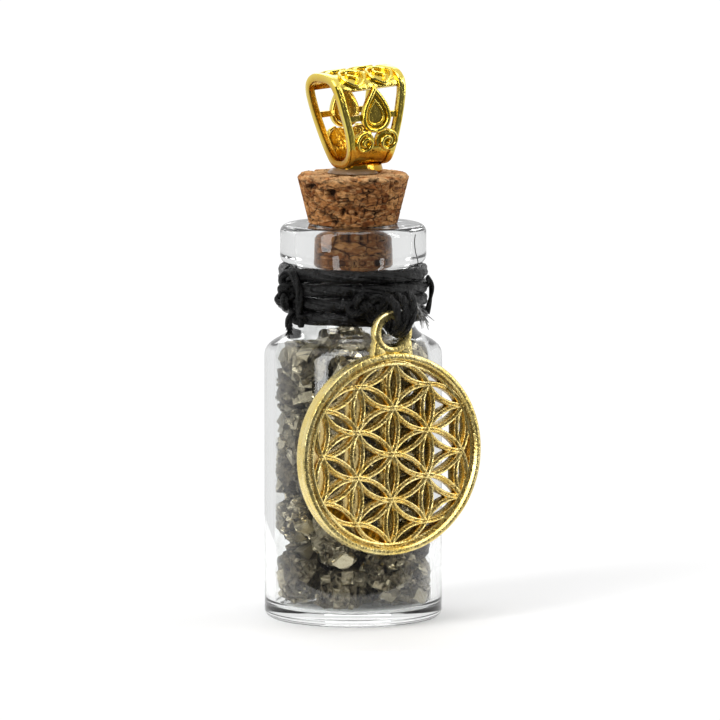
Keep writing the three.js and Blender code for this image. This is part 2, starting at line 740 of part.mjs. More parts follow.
// One chip: a crystal-like block cut back to its own share of the space and to the cavity.
function chip(index, centres, size) {
  const random = seeded(CHIP_SEED + 7 * index + 1);
  const centre = centres[index];
  const turn = new THREE.Quaternion().setFromEuler(
    new THREE.Euler(6 * random(), 6 * random(), 6 * random()),
  );
  const halfSizes = [0, 1, 2].map(() => size * (0.4 + 0.14 * random()));
  const walls = centres
    .filter((other, i) => i !== index && other.distanceTo(centre) < size * 2)
    .map((other) => {
      const normal = other.clone().sub(centre);
      const distance = normal.length();
      return { normal: normal.divideScalar(distance), reach: (distance - CHIP_GAP) / 2 };
    });
  [
    new THREE.Vector3(1, 0, 0),
    new THREE.Vector3(0, 1, 0),
    new THREE.Vector3(0, 0, 1),
  ].forEach((axis, k) => {
    axis.applyQuaternion(turn);
    walls.push({ normal: axis, reach: halfSizes[k] });
    walls.push({ normal: axis.clone().negate(), reach: halfSizes[k] });
  });
  const points = [];
  for (let k = 0; k < CHIP_DIRECTIONS; k += 1) {
    const z = 1 - (2 * (k + 0.5)) / CHIP_DIRECTIONS;
    const angle = k * Math.PI * (3 - Math.sqrt(5));
    const flat = Math.sqrt(1 - z * z);
    const ray = new THREE.Vector3(flat * Math.cos(angle), flat * Math.sin(angle), z);
    ray.applyQuaternion(turn);
    let reach = size;
    for (const wall of walls) {
      const facing = wall.normal.dot(ray);
      if (facing > 0) reach = Math.min(reach, wall.reach / facing);
    }
    let low = 0;
    let high = reach;
    if (!inCavity(centre.clone().addScaledVector(ray, reach))) {
      for (let step = 0; step < 20; step += 1) {
        const middle = (low + high) / 2;
        if (inCavity(centre.clone().addScaledVector(ray, middle))) low = middle;
        else high = middle;
      }
      reach = low;
    }
    points.push(centre.clone().addScaledVector(ray, reach));
  }
  return new ConvexGeometry(points);
}

// ---------------------------------------------------------------- looks

const clearGlass = material(0xf2f6f4, 0.05, 0.0, 0.35);
const cork = material(0x9a6a45, 0.9, 0.0);
const brightGold = material(0xe8b53a, 0.22, 1.0);
const antiqueGold = material(0xc99a3c, 0.38, 1.0);
const waxedCord = material(0x141414, 0.6, 0.0);
const clearGlue = material(0xe9e4d8, 0.15, 0.0, 0.6);
const pyrite = material(0x6f6a5c, 0.4, 0.8);

// ---------------------------------------------------------------- assembly

const pendant = new THREE.Group();

pendant.add(part("glass_bottle", glassBottle(), clearGlass));
pendant.add(part("neck_cord", neckCord(), waxedCord));
const wrapMiddle = (WRAP_TOP + WRAP_BOTTOM) / 2;
const endLow = SHOULDER_TOP - END_DROP;
pendant.add(part("side_knot", knot(SIDE_KNOT_ANGLE, wrapMiddle, ...SIDE_KNOT), waxedCord));
const sideEndHigh = wrapMiddle - SIDE_KNOT[1] - RUNNING_GAP;
pendant.add(
  part("side_loose_end", looseEnd(SIDE_KNOT_ANGLE, sideEndHigh, endLow, END_RADIUS), waxedCord),
);
pendant.add(
  part("frayed_end", looseEnd(FRAYED_ANGLE, wrapMiddle, endLow, END_RADIUS), waxedCord),
);

const { centres, size } = chipCentres();
centres.forEach((centre, index) => {
  const name = `chip_${String(index + 1).padStart(2, "0")}`;
  pendant.add(part(name, chip(index, centres, size), pyrite));
});

const stopper = new THREE.Group();
stopper.add(part("cork_stopper", corkStopper(), cork));
stopper.add(part("bail_peg", bailPeg(), brightGold));
stopper.add(part("glue_bead", glueBead(), clearGlue));
const bailMesh = part("bail", bail(), brightGold);
bailMesh.position.set(
  BAIL_SHIFT_X,
  0,
  CORK_TOP + FACET_GAP + PEG_FLANGE_THICKNESS + RUNNING_GAP,
);
bailMesh.rotation.y = -BAIL_LEAN;
stopper.add(bailMesh);
pendant.add(stopper);

const charm = new THREE.Group();
charm.rotation.y = CHARM_ROLL;
const barAt = new THREE.Vector3(0, 0, BAR_ABOVE_CENTRE).applyEuler(charm.rotation);
charm.position.set(CHARM_SHIFT_X, CHARM_PLANE, BAR_Z - barAt.z);
charm.add(part("charm", charmDisc(), antiqueGold));
pendant.add(charm);

const bight = part("hanger_bight", hangerBight(), waxedCord);
bight.position.set(CHARM_SHIFT_X + barAt.x, 0, BAR_Z);
pendant.add(bight);
const knotOut = WRAP_OUTSIDE + CORD_SNUG + CHARM_KNOT[2];
const knotFromBight = (CORD_RADIUS + CHARM_KNOT_GAP + CHARM_KNOT[0]) / knotOut;
const bightAngle = Math.asin(bight.position.x / knotOut) - Math.PI / 2;
const charmKnotAngle = THREE.MathUtils.radToDeg(bightAngle - knotFromBight);
const charmKnot = knot(charmKnotAngle, BAR_Z + CHARM_KNOT_RISE, ...CHARM_KNOT);
pendant.add(part("charm_knot", charmKnot, waxedCord));

export default pendant;
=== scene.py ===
# %% [markdown]
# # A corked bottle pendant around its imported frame
# The pendant is a small glass bottle full of pyrite chips, shut by a cork. A gold bail stands on
# the cork, black waxed cord is wound round the neck, and an openwork gold disc hangs from the cord.
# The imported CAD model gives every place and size. Each CAD solid is either kept with a better
# finish, or replaced by a finer piece that rides on the same body.

import bisect
import math
import random

import bmesh
import bpy
from mathutils import Matrix, Vector, noise


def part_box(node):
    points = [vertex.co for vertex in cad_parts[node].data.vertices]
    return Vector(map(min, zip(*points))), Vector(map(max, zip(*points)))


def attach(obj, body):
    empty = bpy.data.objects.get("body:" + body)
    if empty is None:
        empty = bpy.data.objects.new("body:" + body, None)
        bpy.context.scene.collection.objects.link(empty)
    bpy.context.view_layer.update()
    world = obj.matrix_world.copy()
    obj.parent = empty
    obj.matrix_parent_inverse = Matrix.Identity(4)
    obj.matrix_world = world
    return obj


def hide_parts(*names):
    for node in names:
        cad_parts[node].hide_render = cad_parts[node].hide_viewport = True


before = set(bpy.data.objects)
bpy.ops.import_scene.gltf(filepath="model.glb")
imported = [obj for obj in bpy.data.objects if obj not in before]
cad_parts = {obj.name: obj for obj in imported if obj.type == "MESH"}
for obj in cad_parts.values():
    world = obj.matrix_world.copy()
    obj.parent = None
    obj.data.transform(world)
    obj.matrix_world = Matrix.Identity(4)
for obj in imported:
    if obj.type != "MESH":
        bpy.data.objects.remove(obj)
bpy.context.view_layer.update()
MM = 0.001

# %% [markdown]
# The camera looks from the left of the charm and from a little above, so that it sees the
# charm's face and the cork's top. A long lens from far away keeps the bottle's sides parallel.
# The aim and the distance set where the pendant sits in the square frame.

# %% Camera
scene = bpy.context.scene
TURN = math.radians(29)
TOWARD = Vector((-math.sin(TURN), -math.cos(TURN), 0))
RIGHTWARD = Vector((math.cos(TURN), -math.sin(TURN), 0))
AIM = RIGHTWARD * 0.69 * MM + Vector((0, 0, 26.1 * MM))
AWAY, RAISED, LENS = 850, 101.9, 423

camera = bpy.data.objects.new("camera", bpy.data.cameras.new("camera"))
scene.collection.objects.link(camera)
camera.location = AIM + TOWARD * AWAY * MM + Vector((0, 0, RAISED * MM))
camera.rotation_euler = (AIM - camera.location).to_track_quat("-Z", "Y").to_euler()
camera.data.lens = LENS
camera.data.sensor_width = 36
camera.data.clip_end = 50
scene.camera = camera
print("camera at", [round(c, 3) for c in camera.location])

# %% [markdown]
# Light and finishes are both made of nodes. One helper adds a node with its plain values, one
# draws its links, one moves a value from one range to another, and one starts a material.

# %% Node helpers


def node(tree, kind, values=None, **settings):
    """A new node, with its settings and the plain values of its inputs."""
    made = tree.nodes.new(kind)
    for key, value in settings.items():
        setattr(made, key, value)
    for label, value in (values or {}).items():
        made.inputs[label].default_value = value
    return made


def wire(tree, *pairs):
    """A link from each pair's output to its input."""
    for start, end in pairs:
        tree.links.new(start, end)


def ramp(tree, value, low, high, to_low=0.0, to_high=1.0, **settings):
    limits = {"From Min": low, "From Max": high, "To Min": to_low, "To Max": to_high}
    made = node(tree, "ShaderNodeMapRange", limits, **settings)
    wire(tree, (value, made.inputs["Value"]))
    return made.outputs["Result"]


def finish(name, color, roughness, metallic=0.0):
    made = bpy.data.materials.new(name)
    made.use_nodes = True
    shader = made.node_tree.nodes["Principled BSDF"]
    shader.inputs["Base Color"].default_value = (*color, 1)
    shader.inputs["Roughness"].default_value = roughness
    shader.inputs["Metallic"].default_value = metallic
    return made, made.node_tree, shader


# %% [markdown]
# Small shiny things take their shape from what they reflect. The room is white behind the
# pendant and darker on the camera's side, so that gold and glass get both bright and dark
# edges. Large soft lamps stand to the left, the right, above and behind. The white floor is a
# small sheet that lies mostly behind the pendant, because a wide one would show in the front of
# every glass wall as a grey veil.

# %% Studio
scene.view_settings.view_transform = "Standard"
world = bpy.data.worlds.new("studio")
world.use_nodes = True
scene.world = world
tree = world.node_tree
tree.nodes.clear()
direction = node(tree, "ShaderNodeTexCoord")
facing = node(tree, "ShaderNodeVectorMath", {1: TOWARD}, operation="DOT_PRODUCT")
darker = ramp(
    tree, facing.outputs["Value"], -0.1, 0.55, 1.0, 0.12, interpolation_type="SMOOTHSTEP"
)
room = node(tree, "ShaderNodeBackground")
backdrop = node(tree, "ShaderNodeBackground", {"Color": (1, 1, 1, 1), "Strength": 1.05})
seen = node(tree, "ShaderNodeLightPath")
choose = node(tree, "ShaderNodeMixShader")
output = node(tree, "ShaderNodeOutputWorld")
wire(
    tree,
    (direction.outputs["Generated"], facing.inputs[0]),
    (darker, room.inputs["Strength"]),
    (seen.outputs["Is Camera Ray"], choose.inputs["Fac"]),
    (room.outputs[0], choose.inputs[1]),
    (backdrop.outputs[0], choose.inputs[2]),
    (choose.outputs[0], output.inputs["Surface"]),
)


def softbox(name, place, size, power):
    lamp = bpy.data.objects.new(name, bpy.data.lights.new(name, "AREA"))
    scene.collection.objects.link(lamp)
    lamp.data.shape = "RECTANGLE"
    lamp.data.size, lamp.data.size_y = size
    lamp.data.energy = power
    lamp.location = Vector(place)
    aim = Vector((0, 0, 0.03))
    lamp.rotation_euler = (aim - lamp.location).to_track_quat("-Z", "Y").to_euler()


softbox("left_softbox", (-0.75, -0.25, 0.4), (0.28, 1.1), 5.5)
softbox("right_softbox", (0.62, -0.62, 0.45), (0.18, 0.9), 2.6)
softbox("top_softbox", (-0.1, -0.15, 0.9), (0.5, 0.5), 2.6)
softbox("rear_softbox", (0.35, 0.7, 0.5), (0.5, 0.5), 1.5)

FLOOR_R, FLOOR_BACK = 0.05, 0.026
floor_mesh = bmesh.new()
bmesh.ops.create_circle(floor_mesh, cap_ends=True, segments=96, radius=FLOOR_R)
bmesh.ops.translate(floor_mesh, verts=floor_mesh.verts, vec=TOWARD * -FLOOR_BACK)
floor_data = bpy.data.meshes.new("floor")
floor_mesh.to_mesh(floor_data)
floor_mesh.free()
floor = bpy.data.objects.new("floor", floor_data)
scene.collection.objects.link(floor)
paper, _, shader = finish("white_paper", (0.885, 0.885, 0.885), 0.9)
shader.inputs["Specular IOR Level"].default_value = 0.1
floor_data.materials.append(paper)

# %% [markdown]
# Several finishes need the same two effects: a soft mottle, which is a noise spread over the
# surface, and grains, which are cells with a tone of their own and a seam between them. Each is
# built once as a node group that reads Object coordinates, so it sits still on a moving part.

# %% Shared effects
FLOAT, VECTOR = "NodeSocketFloat", "NodeSocketVector"


def group(name, inputs, outputs):
    """A node group, the ends inside it, and its plain and its stretched coordinates."""
    made = bpy.data.node_groups.new(name, "ShaderNodeTree")
    for label, kind, value in [("Stretch", VECTOR, (1, 1, 1)), *inputs]:
        socket = made.interface.new_socket(label, in_out="INPUT", socket_type=kind)
        socket.default_value = value
    for label in outputs:
        made.interface.new_socket(label, in_out="OUTPUT", socket_type=FLOAT)
    inlet, outlet = node(made, "NodeGroupInput"), node(made, "NodeGroupOutput")
    spot = node(made, "ShaderNodeTexCoord").outputs["Object"]
    stretched = node(made, "ShaderNodeVectorMath", operation="MULTIPLY")
    wire(made, (spot, stretched.inputs[0]), (inlet.outputs["Stretch"], stretched.inputs[1]))
    return made, inlet.outputs, outlet.inputs, spot, stretched.outputs[0]


MOTTLE, given, result, spot, stretched = group(
    "mottle", [("Scale", FLOAT, 500.0), ("Detail", FLOAT, 4.0)], ["Value"]
)
cloud = node(MOTTLE, "ShaderNodeTexNoise")
wire(
    MOTTLE,
    (stretched, cloud.inputs["Vector"]),
    (given["Scale"], cloud.inputs["Scale"]),
    (given["Detail"], cloud.inputs["Detail"]),
    (ramp(MOTTLE, cloud.outputs[0], 0.32, 0.68), result["Value"]),
)

GRAINS, given, result, spot, stretched = group(
    "grains",
    [("Scale", FLOAT, 900.0), ("Seam", FLOAT, 0.06), ("Ragged", FLOAT, 0.0)],
    ["Tone", "Seam"],
)
waver = node(GRAINS, "ShaderNodeTexNoise")
push = node(GRAINS, "ShaderNodeVectorMath", operation="MULTIPLY_ADD")
cells = node(GRAINS, "ShaderNodeTexVoronoi")
seams = node(GRAINS, "ShaderNodeTexVoronoi", feature="DISTANCE_TO_EDGE")
tone = node(GRAINS, "ShaderNodeSeparateColor")
near_seam = node(GRAINS, "ShaderNodeMapRange", {"To Min": 1.0, "To Max": 0.0})
wire(
    GRAINS,
    (spot, waver.inputs["Vector"]),
    (given["Scale"], waver.inputs["Scale"]),
    (waver.outputs["Color"], push.inputs[0]),
    (given["Ragged"], push.inputs[1]),
    (stretched, push.inputs[2]),
    (push.outputs[0], cells.inputs["Vector"]),
    (push.outputs[0], seams.inputs["Vector"]),
    (given["Scale"], cells.inputs["Scale"]),
    (given["Scale"], seams.inputs["Scale"]),
    (cells.outputs["Color"], tone.inputs[0]),
    (seams.outputs["Distance"], near_seam.inputs["Value"]),
    (given["Seam"], near_seam.inputs["From Max"]),
    (tone.outputs[0], result["Tone"]),
    (near_seam.outputs["Result"], result["Seam"]),
)
print("groups:", [g.name for g in bpy.data.node_groups])

# %% [markdown]
# A few more helpers keep the material cells readable: they place a shared effect, read a value
# that the mesh carries, multiply two masks, mix two colours by a mask and add a relief.

# %% Material helpers


def effect(tree, which, **values):
    return node(tree, "ShaderNodeGroup", values, node_tree=which).outputs


def marked(tree, name):
    return node(tree, "ShaderNodeAttribute", attribute_name=name).outputs["Fac"]


def product(tree, one, two):
    made = node(tree, "ShaderNodeMath", operation="MULTIPLY")
    wire(tree, (one, made.inputs[0]), (two, made.inputs[1]))
    return made.outputs[0]


def blend_colors(tree, mask, one, two):
    mix = node(tree, "ShaderNodeMix", data_type="RGBA")
    wire(tree, (mask, mix.inputs["Factor"]))
    for socket, value in ((mix.inputs["A"], one), (mix.inputs["B"], two)):
        if isinstance(value, tuple):
            socket.default_value = (*value, 1)
        else:
            wire(tree, (value, socket))
    return mix.outputs["Result"]


def bumped(tree, shader, height, distance, strength=1.0, under=None):
    bump = node(tree, "ShaderNodeBump", {"Distance": distance, "Strength": strength})
    wire(tree, (height, bump.inputs["Height"]), (bump.outputs["Normal"], shader.inputs["Normal"]))
    if under is not None:
        wire(tree, (under, bump.inputs["Normal"]))
    return bump.outputs["Normal"]


# %% [markdown]
# The bottle is drawn soda glass: quite clear, faintly wavy, because it was shaped hot over a
# flame. Light has to reach the chips inside, so lamps' rays pass straight through. The bead of
# glue under the bail is a cloudy amber.

# %% Glass and glue
bottle_glass, tree, shader = finish("bottle_glass", (0.985, 0.995, 0.99), 0.0)
shader.inputs["Transmission Weight"].default_value = 1.0
shader.inputs["IOR"].default_value = 1.48
waves = effect(tree, MOTTLE, Scale=90.0, Stretch=(1, 1, 0.35), Detail=1.5)
bumped(tree, shader, waves["Value"], 0.0001, 0.25)
lamps_through = node(tree, "ShaderNodeMixShader")
clear = node(tree, "ShaderNodeBsdfTransparent", {"Color": (0.93, 0.94, 0.94, 1)})
rays = node(tree, "ShaderNodeLightPath")
wire(
    tree,
    (rays.outputs["Is Shadow Ray"], lamps_through.inputs["Fac"]),
    (shader.outputs[0], lamps_through.inputs[1]),
    (clear.outputs[0], lamps_through.inputs[2]),
    (lamps_through.outputs[0], tree.nodes["Material Output"].inputs["Surface"]),
)

glue, tree, shader = finish("clear_glue", (0.42, 0.26, 0.13), 0.3)
shader.inputs["Transmission Weight"].default_value = 0.5
shader.inputs["IOR"].default_value = 1.45
bumped(tree, shader, effect(tree, MOTTLE, Scale=900.0)["Value"], 0.0001, 0.6)

# %% [markdown]
# The stopper is pressed from cork grains. Each grain has its own brown, dark seams run between
# them, and the grains have a fine fibre of their own. Shade is painted into the pits and on the
# part in the bore, and a highlight is painted on its top edge.

# %% Cork
cork, tree, shader = finish("cork", (0.5, 0.3, 0.17), 0.92)
shader.inputs["Specular IOR Level"].default_value = 0.15
big = effect(tree, GRAINS, Scale=620.0, Stretch=(1, 1, 2.0), Seam=0.09, Ragged=0.0022)
small = effect(tree, GRAINS, Scale=2300.0, Stretch=(1, 1, 2.2), Seam=0.2, Ragged=0.0007)
cloudy = effect(tree, MOTTLE, Scale=1500.0, Stretch=(1, 1, 2.0), Detail=6.0)["Value"]
cracks = effect(tree, MOTTLE, Scale=700.0, Stretch=(0.8, 0.8, 2.4), Detail=3.0)["Value"]
where = node(tree, "ShaderNodeTexCoord")
height = node(tree, "ShaderNodeSeparateXYZ")
wire(tree, (where.outputs["Object"], height.inputs[0]))
seamed = product(tree, big["Seam"], ramp(tree, cracks, 0.25, 0.75))
# painted highlight: a paler colour on the cork's top edge
painted_top_highlight = ramp(tree, height.outputs["Z"], 0.0444, 0.045, 0, 0.8)
brown = blend_colors(tree, big["Tone"], (0.31, 0.1, 0.026), (0.75, 0.35, 0.12))
for mask, color in (
    (ramp(tree, small["Tone"], 0.5, 1, 0, 0.55), (0.88, 0.52, 0.24)),
    (ramp(tree, cloudy, 0.5, 1.0, 0, 0.8), (0.1, 0.036, 0.014)),
    (seamed, (0.03, 0.012, 0.006)),
    (product(tree, painted_top_highlight, ramp(tree, cracks, 0.2, 0.7)), (0.82, 0.5, 0.24)),
    # painted shade in the pits and on the part in the bore
    (marked(tree, "cork_painted_shade"), (0.02, 0.008, 0.004)),
):
    brown = blend_colors(tree, mask, brown, color)
wire(tree, (brown, shader.inputs["Base Color"]))
under = bumped(tree, shader, ramp(tree, seamed, 0, 1, 1, 0), 0.0002, 0.7)
bumped(tree, shader, cloudy, 0.00018, 0.9, under)

# %% [markdown]
# Both golds are plated castings. The bail is bright and hand polished. The charm is satin and a
# little grainy from its mould. Both get painted shade: a darker colour in their recesses, which an
# attribute marks from 0 on the proud edges to 1 in the depths.

# %% Golds


def gold(name, bright, deep, painted_shade_color, roughness, grain, relief):
    made, tree, shader = finish(name, bright, roughness, 1.0)
    cloud = effect(tree, MOTTLE, Scale=grain, Detail=5.0)["Value"]
    broad = effect(tree, MOTTLE, Scale=grain / 6, Detail=2.0)["Value"]
    color = blend_colors(tree, broad, bright, deep)
    # painted shade: the depth attribute darkens the colour in recesses
    color = blend_colors(tree, marked(tree, "depth"), color, painted_shade_color)
    rough = ramp(tree, cloud, 0, 1, roughness * 0.7, roughness * 1.5)
    wire(tree, (color, shader.inputs["Base Color"]), (rough, shader.inputs["Roughness"]))
    bumped(tree, shader, cloud, 0.00004, relief)
    return made


bright_gold = gold(
    "bright_gold", (1.0, 0.85, 0.21), (1.0, 0.74, 0.09), (0.5, 0.23, 0.015), 0.12, 2200.0, 0.5
)
antique_gold = gold(
    "antique_gold", (1.0, 0.84, 0.38), (0.93, 0.71, 0.22), (0.42, 0.2, 0.016), 0.25, 3600.0, 0.6
)

# %% [markdown]
# The cord is black polyester in braided strands, dressed with wax. Its fibres run along it, so
# their relief follows the strand's own UV map, and the wax gives a soft, patchy shine. Where it
# is frayed, the bare fibres are grey.

# %% Waxed cord
waxed_cord, tree, shader = finish("waxed_cord", (0.003, 0.003, 0.003), 0.3)
shader.inputs["Specular IOR Level"].default_value = 0.3
own = node(tree, "ShaderNodeUVMap", uv_map="UVMap")
along = node(tree, "ShaderNodeVectorMath", {1: (90.0, 14.0, 1.0)}, operation="MULTIPLY")
fibres = node(tree, "ShaderNodeTexNoise", {"Scale": 1.0, "Detail": 3.0})
wax = effect(tree, MOTTLE, Scale=1300.0, Detail=4.0)["Value"]
wire(
    tree,
    (own.outputs[0], along.inputs[0]),
    (along.outputs[0], fibres.inputs["Vector"]),
    (ramp(tree, wax, 0, 1, 0.2, 0.5), shader.inputs["Roughness"]),
)
under = bumped(tree, shader, fibres.outputs[0], 0.00025, 1.0)
bumped(tree, shader, wax, 0.00018, 0.7, under)

frayed_fibre, tree, shader = finish("frayed_fibre", (0.3, 0.3, 0.3), 0.55)
wax = effect(tree, MOTTLE, Scale=2500.0, Detail=3.0)["Value"]
grey = blend_colors(tree, wax, (0.05, 0.05, 0.05), (0.5, 0.5, 0.5))
wire(tree, (grey, shader.inputs["Base Color"]))

# %% [markdown]
# Pyrite breaks into grey metallic lumps set with small cubes. Each crystal face has its own
# brightness, kept in an attribute, and growth lines are cut across the faces.

# %% Pyrite
pyrite, tree, shader = finish("pyrite", (0.3, 0.28, 0.23), 0.35, 0.9)
shine = marked(tree, "shine")
cloud = effect(tree, MOTTLE, Scale=1600.0, Detail=6.0)["Value"]
grit = effect(tree, GRAINS, Scale=700.0, Seam=0.08)["Tone"]
stone = blend_colors(tree, cloud, (0.006, 0.005, 0.004), (0.2, 0.17, 0.115))
metal = blend_colors(tree, grit, (0.15, 0.13, 0.085), (1.0, 0.9, 0.64))
lines = node(
    tree, "ShaderNodeTexWave", {"Scale": 900.0, "Distortion": 2.0}, bands_direction="DIAGONAL"
)
spot = node(tree, "ShaderNodeTexCoord")
wire(
    tree,
    (blend_colors(tree, shine, stone, metal), shader.inputs["Base Color"]),
    (ramp(tree, shine, 0, 0.8, 0.42, 0.16), shader.inputs["Roughness"]),
    (spot.outputs["Object"], lines.inputs["Vector"]),
)
relief = product(tree, cloud, ramp(tree, shine, 0.1, 0.5, 1.0, 0.06))
under = bumped(tree, shader, lines.outputs["Fac"], 0.00006, 0.35)
under = bumped(tree, shader, relief, 0.0003, 1.0, under)
bumped(tree, shader, grit, 0.00012, 0.6, under)
print("materials:", len(bpy.data.materials))

# %% [markdown]
# Every new piece goes through one helper. It writes the bmesh to a mesh, sets which edges stay
# sharp, gives the material, hangs the piece on its body and hides the CAD solids it stands for.

# %% Piece helper


def add_piece(name, bm, look, body, stands_for=(), sharp=40):
    data = bpy.data.meshes.new(name)
    bm.to_mesh(data)
    bm.free()
    data.shade_smooth()
    if sharp < 180:
        data.set_sharp_from_angle(angle=math.radians(sharp))
    data.materials.append(look)
    piece = bpy.data.objects.new(name, data)
    scene.collection.objects.link(piece)
    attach(piece, body)
    if stands_for:
        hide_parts(*stands_for)
    print(name, len(data.polygons), "faces")


# %% [markdown]
# Turned pieces are profiles spun round an axis. A few helpers draw the profiles' arcs and
# curves, spin them, and soften edges.

# %% Profile helpers


def spun(bm, geom, angle, steps, cent=(0, 0, 0), merge=False):
    bmesh.ops.spin(
        bm, geom=geom, cent=cent, axis=(0, 0, 1), angle=angle, steps=steps, use_merge=merge
    )


def softened(bm, edges, width, segments):
    bmesh.ops.bevel(
        bm,
        geom=edges,
        offset=width,
        segments=segments,
        profile=0.5,
        affect="EDGES",
        material=-1,
    )


def arc(centre_r, centre_z, radius, start, end, steps):
    """Points of a profile's arc, angles in degrees, both ends included."""
    points = []
    for i in range(steps + 1):
        angle = math.radians(start + (end - start) * i / steps)
        points.append((centre_r + radius * math.cos(angle), centre_z + radius * math.sin(angle)))
    return points


def s_curve(wide, low, narrow, high, lean, steps):
    """The shoulder's curve: upright at both ends and steep in the middle."""
    rise = (high - low) * lean
    points = []
    for i in range(steps + 1):
        t = i / steps
        a, b, c, d = (1 - t) ** 3, 3 * t * (1 - t) ** 2, 3 * t * t * (1 - t), t**3
        z = a * low + b * (low + rise) + c * (high - rise) + d * high
        points.append(((a + b) * wide + (c + d) * narrow, z))
    return points


def turned(profile, steps, closed=False):
    """A profile of (radius, height) in millimetres, spun round Z into a closed skin."""
    bm = bmesh.new()
    verts = [bm.verts.new((r * MM, 0, z * MM)) for r, z in profile]
    edges = [bm.edges.new(pair) for pair in zip(verts, verts[1:])]
    if closed:
        edges.append(bm.edges.new((verts[-1], verts[0])))
    spun(bm, verts + edges, 2 * math.pi, steps, merge=True)
    bmesh.ops.remove_doubles(bm, verts=bm.verts, dist=1e-6)
    bmesh.ops.recalc_face_normals(bm, faces=bm.faces)
    return bm


# %% [markdown]
# The bottle is one closed profile, spun. The outside runs up from the heel over the shoulder and
# the neck to the rolled lip, and the inside comes back down the bore to a slightly domed floor.
# Its overall size comes from the CAD bottle's box. At the shoulder the inside runs level with
# the outside, so that the stones show through it without being bent out of place, and it only
# narrows to the bore behind the cord.

# %% Bottle
_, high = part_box("glass_bottle")
BODY_R, BOTTLE_TOP = high.x / MM, high.z / MM
WALL, BASE = 1.0, 1.2
BORE_R, NECK_R, LIP_R = 4.0, 6.15, 7.4
STRAIGHT_TOP, SHOULDER_TOP, LIP_LOW = 26.6, 30.2, 36.0
HEEL, LIP_UNDER, LIP_EDGE, MOUTH_EDGE, FLOOR_EDGE = 0.8, 0.9, 0.85, 0.16, 0.9
TAPER_LOW, TAPER_HIGH = 30.6, 33.4
LEAN = 0.56

outside = [(0, 0.35), (BODY_R - 3.2, 0.3), (BODY_R - 1.6, 0.06)]
outside += arc(BODY_R - HEEL, HEEL, HEEL, -90, 0, 8)
outside += [(BODY_R, 8), (BODY_R, 16), (BODY_R, 22)]
outside += s_curve(BODY_R, STRAIGHT_TOP, NECK_R, SHOULDER_TOP, LEAN, 18)
outside += [(NECK_R, LIP_LOW - 0.5)]
outside += arc(LIP_R - LIP_UNDER, LIP_LOW + 0.85, LIP_UNDER, -80, 0, 6)
outside += arc(LIP_R - LIP_EDGE, BOTTLE_TOP - LIP_EDGE, LIP_EDGE, 0, 90, 8)
room_r, neck_r = BODY_R - WALL, NECK_R - WALL
inside = arc(BORE_R + MOUTH_EDGE, BOTTLE_TOP - MOUTH_EDGE, MOUTH_EDGE, 90, 180, 4)
inside += s_curve(neck_r, TAPER_LOW, BORE_R, TAPER_HIGH, 0.5, 10)[::-1]
inside += s_curve(room_r, STRAIGHT_TOP - 0.2, neck_r, SHOULDER_TOP - 0.2, LEAN, 18)[::-1]
inside += [(room_r, 22), (room_r, 12), (room_r, 5)]
inside += arc(room_r - FLOOR_EDGE, BASE + FLOOR_EDGE, FLOOR_EDGE, 0, -90, 7)
inside += [(5, BASE + 0.08), (2.5, BASE + 0.16), (0, BASE + 0.18)]
glass = turned(outside + inside, 128)
add_piece("bottle", glass, bottle_glass, "bottle", ["glass_bottle"], 180)


def room_radius(z):
    """The room for the chips at a height: the CAD bottle's cavity, a little less than here."""
    if z <= STRAIGHT_TOP:
        return room_r
    curve = s_curve(room_r, STRAIGHT_TOP, BORE_R, SHOULDER_TOP, LEAN, 24)
    for (r0, z0), (r1, z1) in zip(curve, curve[1:]):
        if z0 <= z <= z1:
            return r0 + (r1 - r0) * (z - z0) / (z1 - z0)
    return BORE_R


# %% [markdown]
# Each chip starts as its CAD chip, which already lies clear of its neighbours and the glass. Its
# mesh is merged, cut finer and roughened into stone, and small cubes of crystal are sunk into its
# skin at all angles. Whatever would reach the glass is pushed back inside it.

# %% Pyrite chips
CHIP_NODES = sorted(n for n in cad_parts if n.startswith("chip_"))
GLASS_GAP, FLOOR_GAP = 0.1, 0.24
SKIN_PER_CUBE = 0.36  # in square millimetres
BARE_STONES, BARE_ON_STONE, BARE_ON_CRYSTAL = 0.25, 0.72, 0.35


def kept_inside(co):
    z = max(co.z / MM, BASE + FLOOR_GAP)
    reach = room_radius(z) - GLASS_GAP
    r = math.hypot(co.x, co.y) / MM
    if r > reach:
        co = Vector((co.x * reach / r, co.y * reach / r, co.z))
    return Vector((co.x, co.y, z * MM))


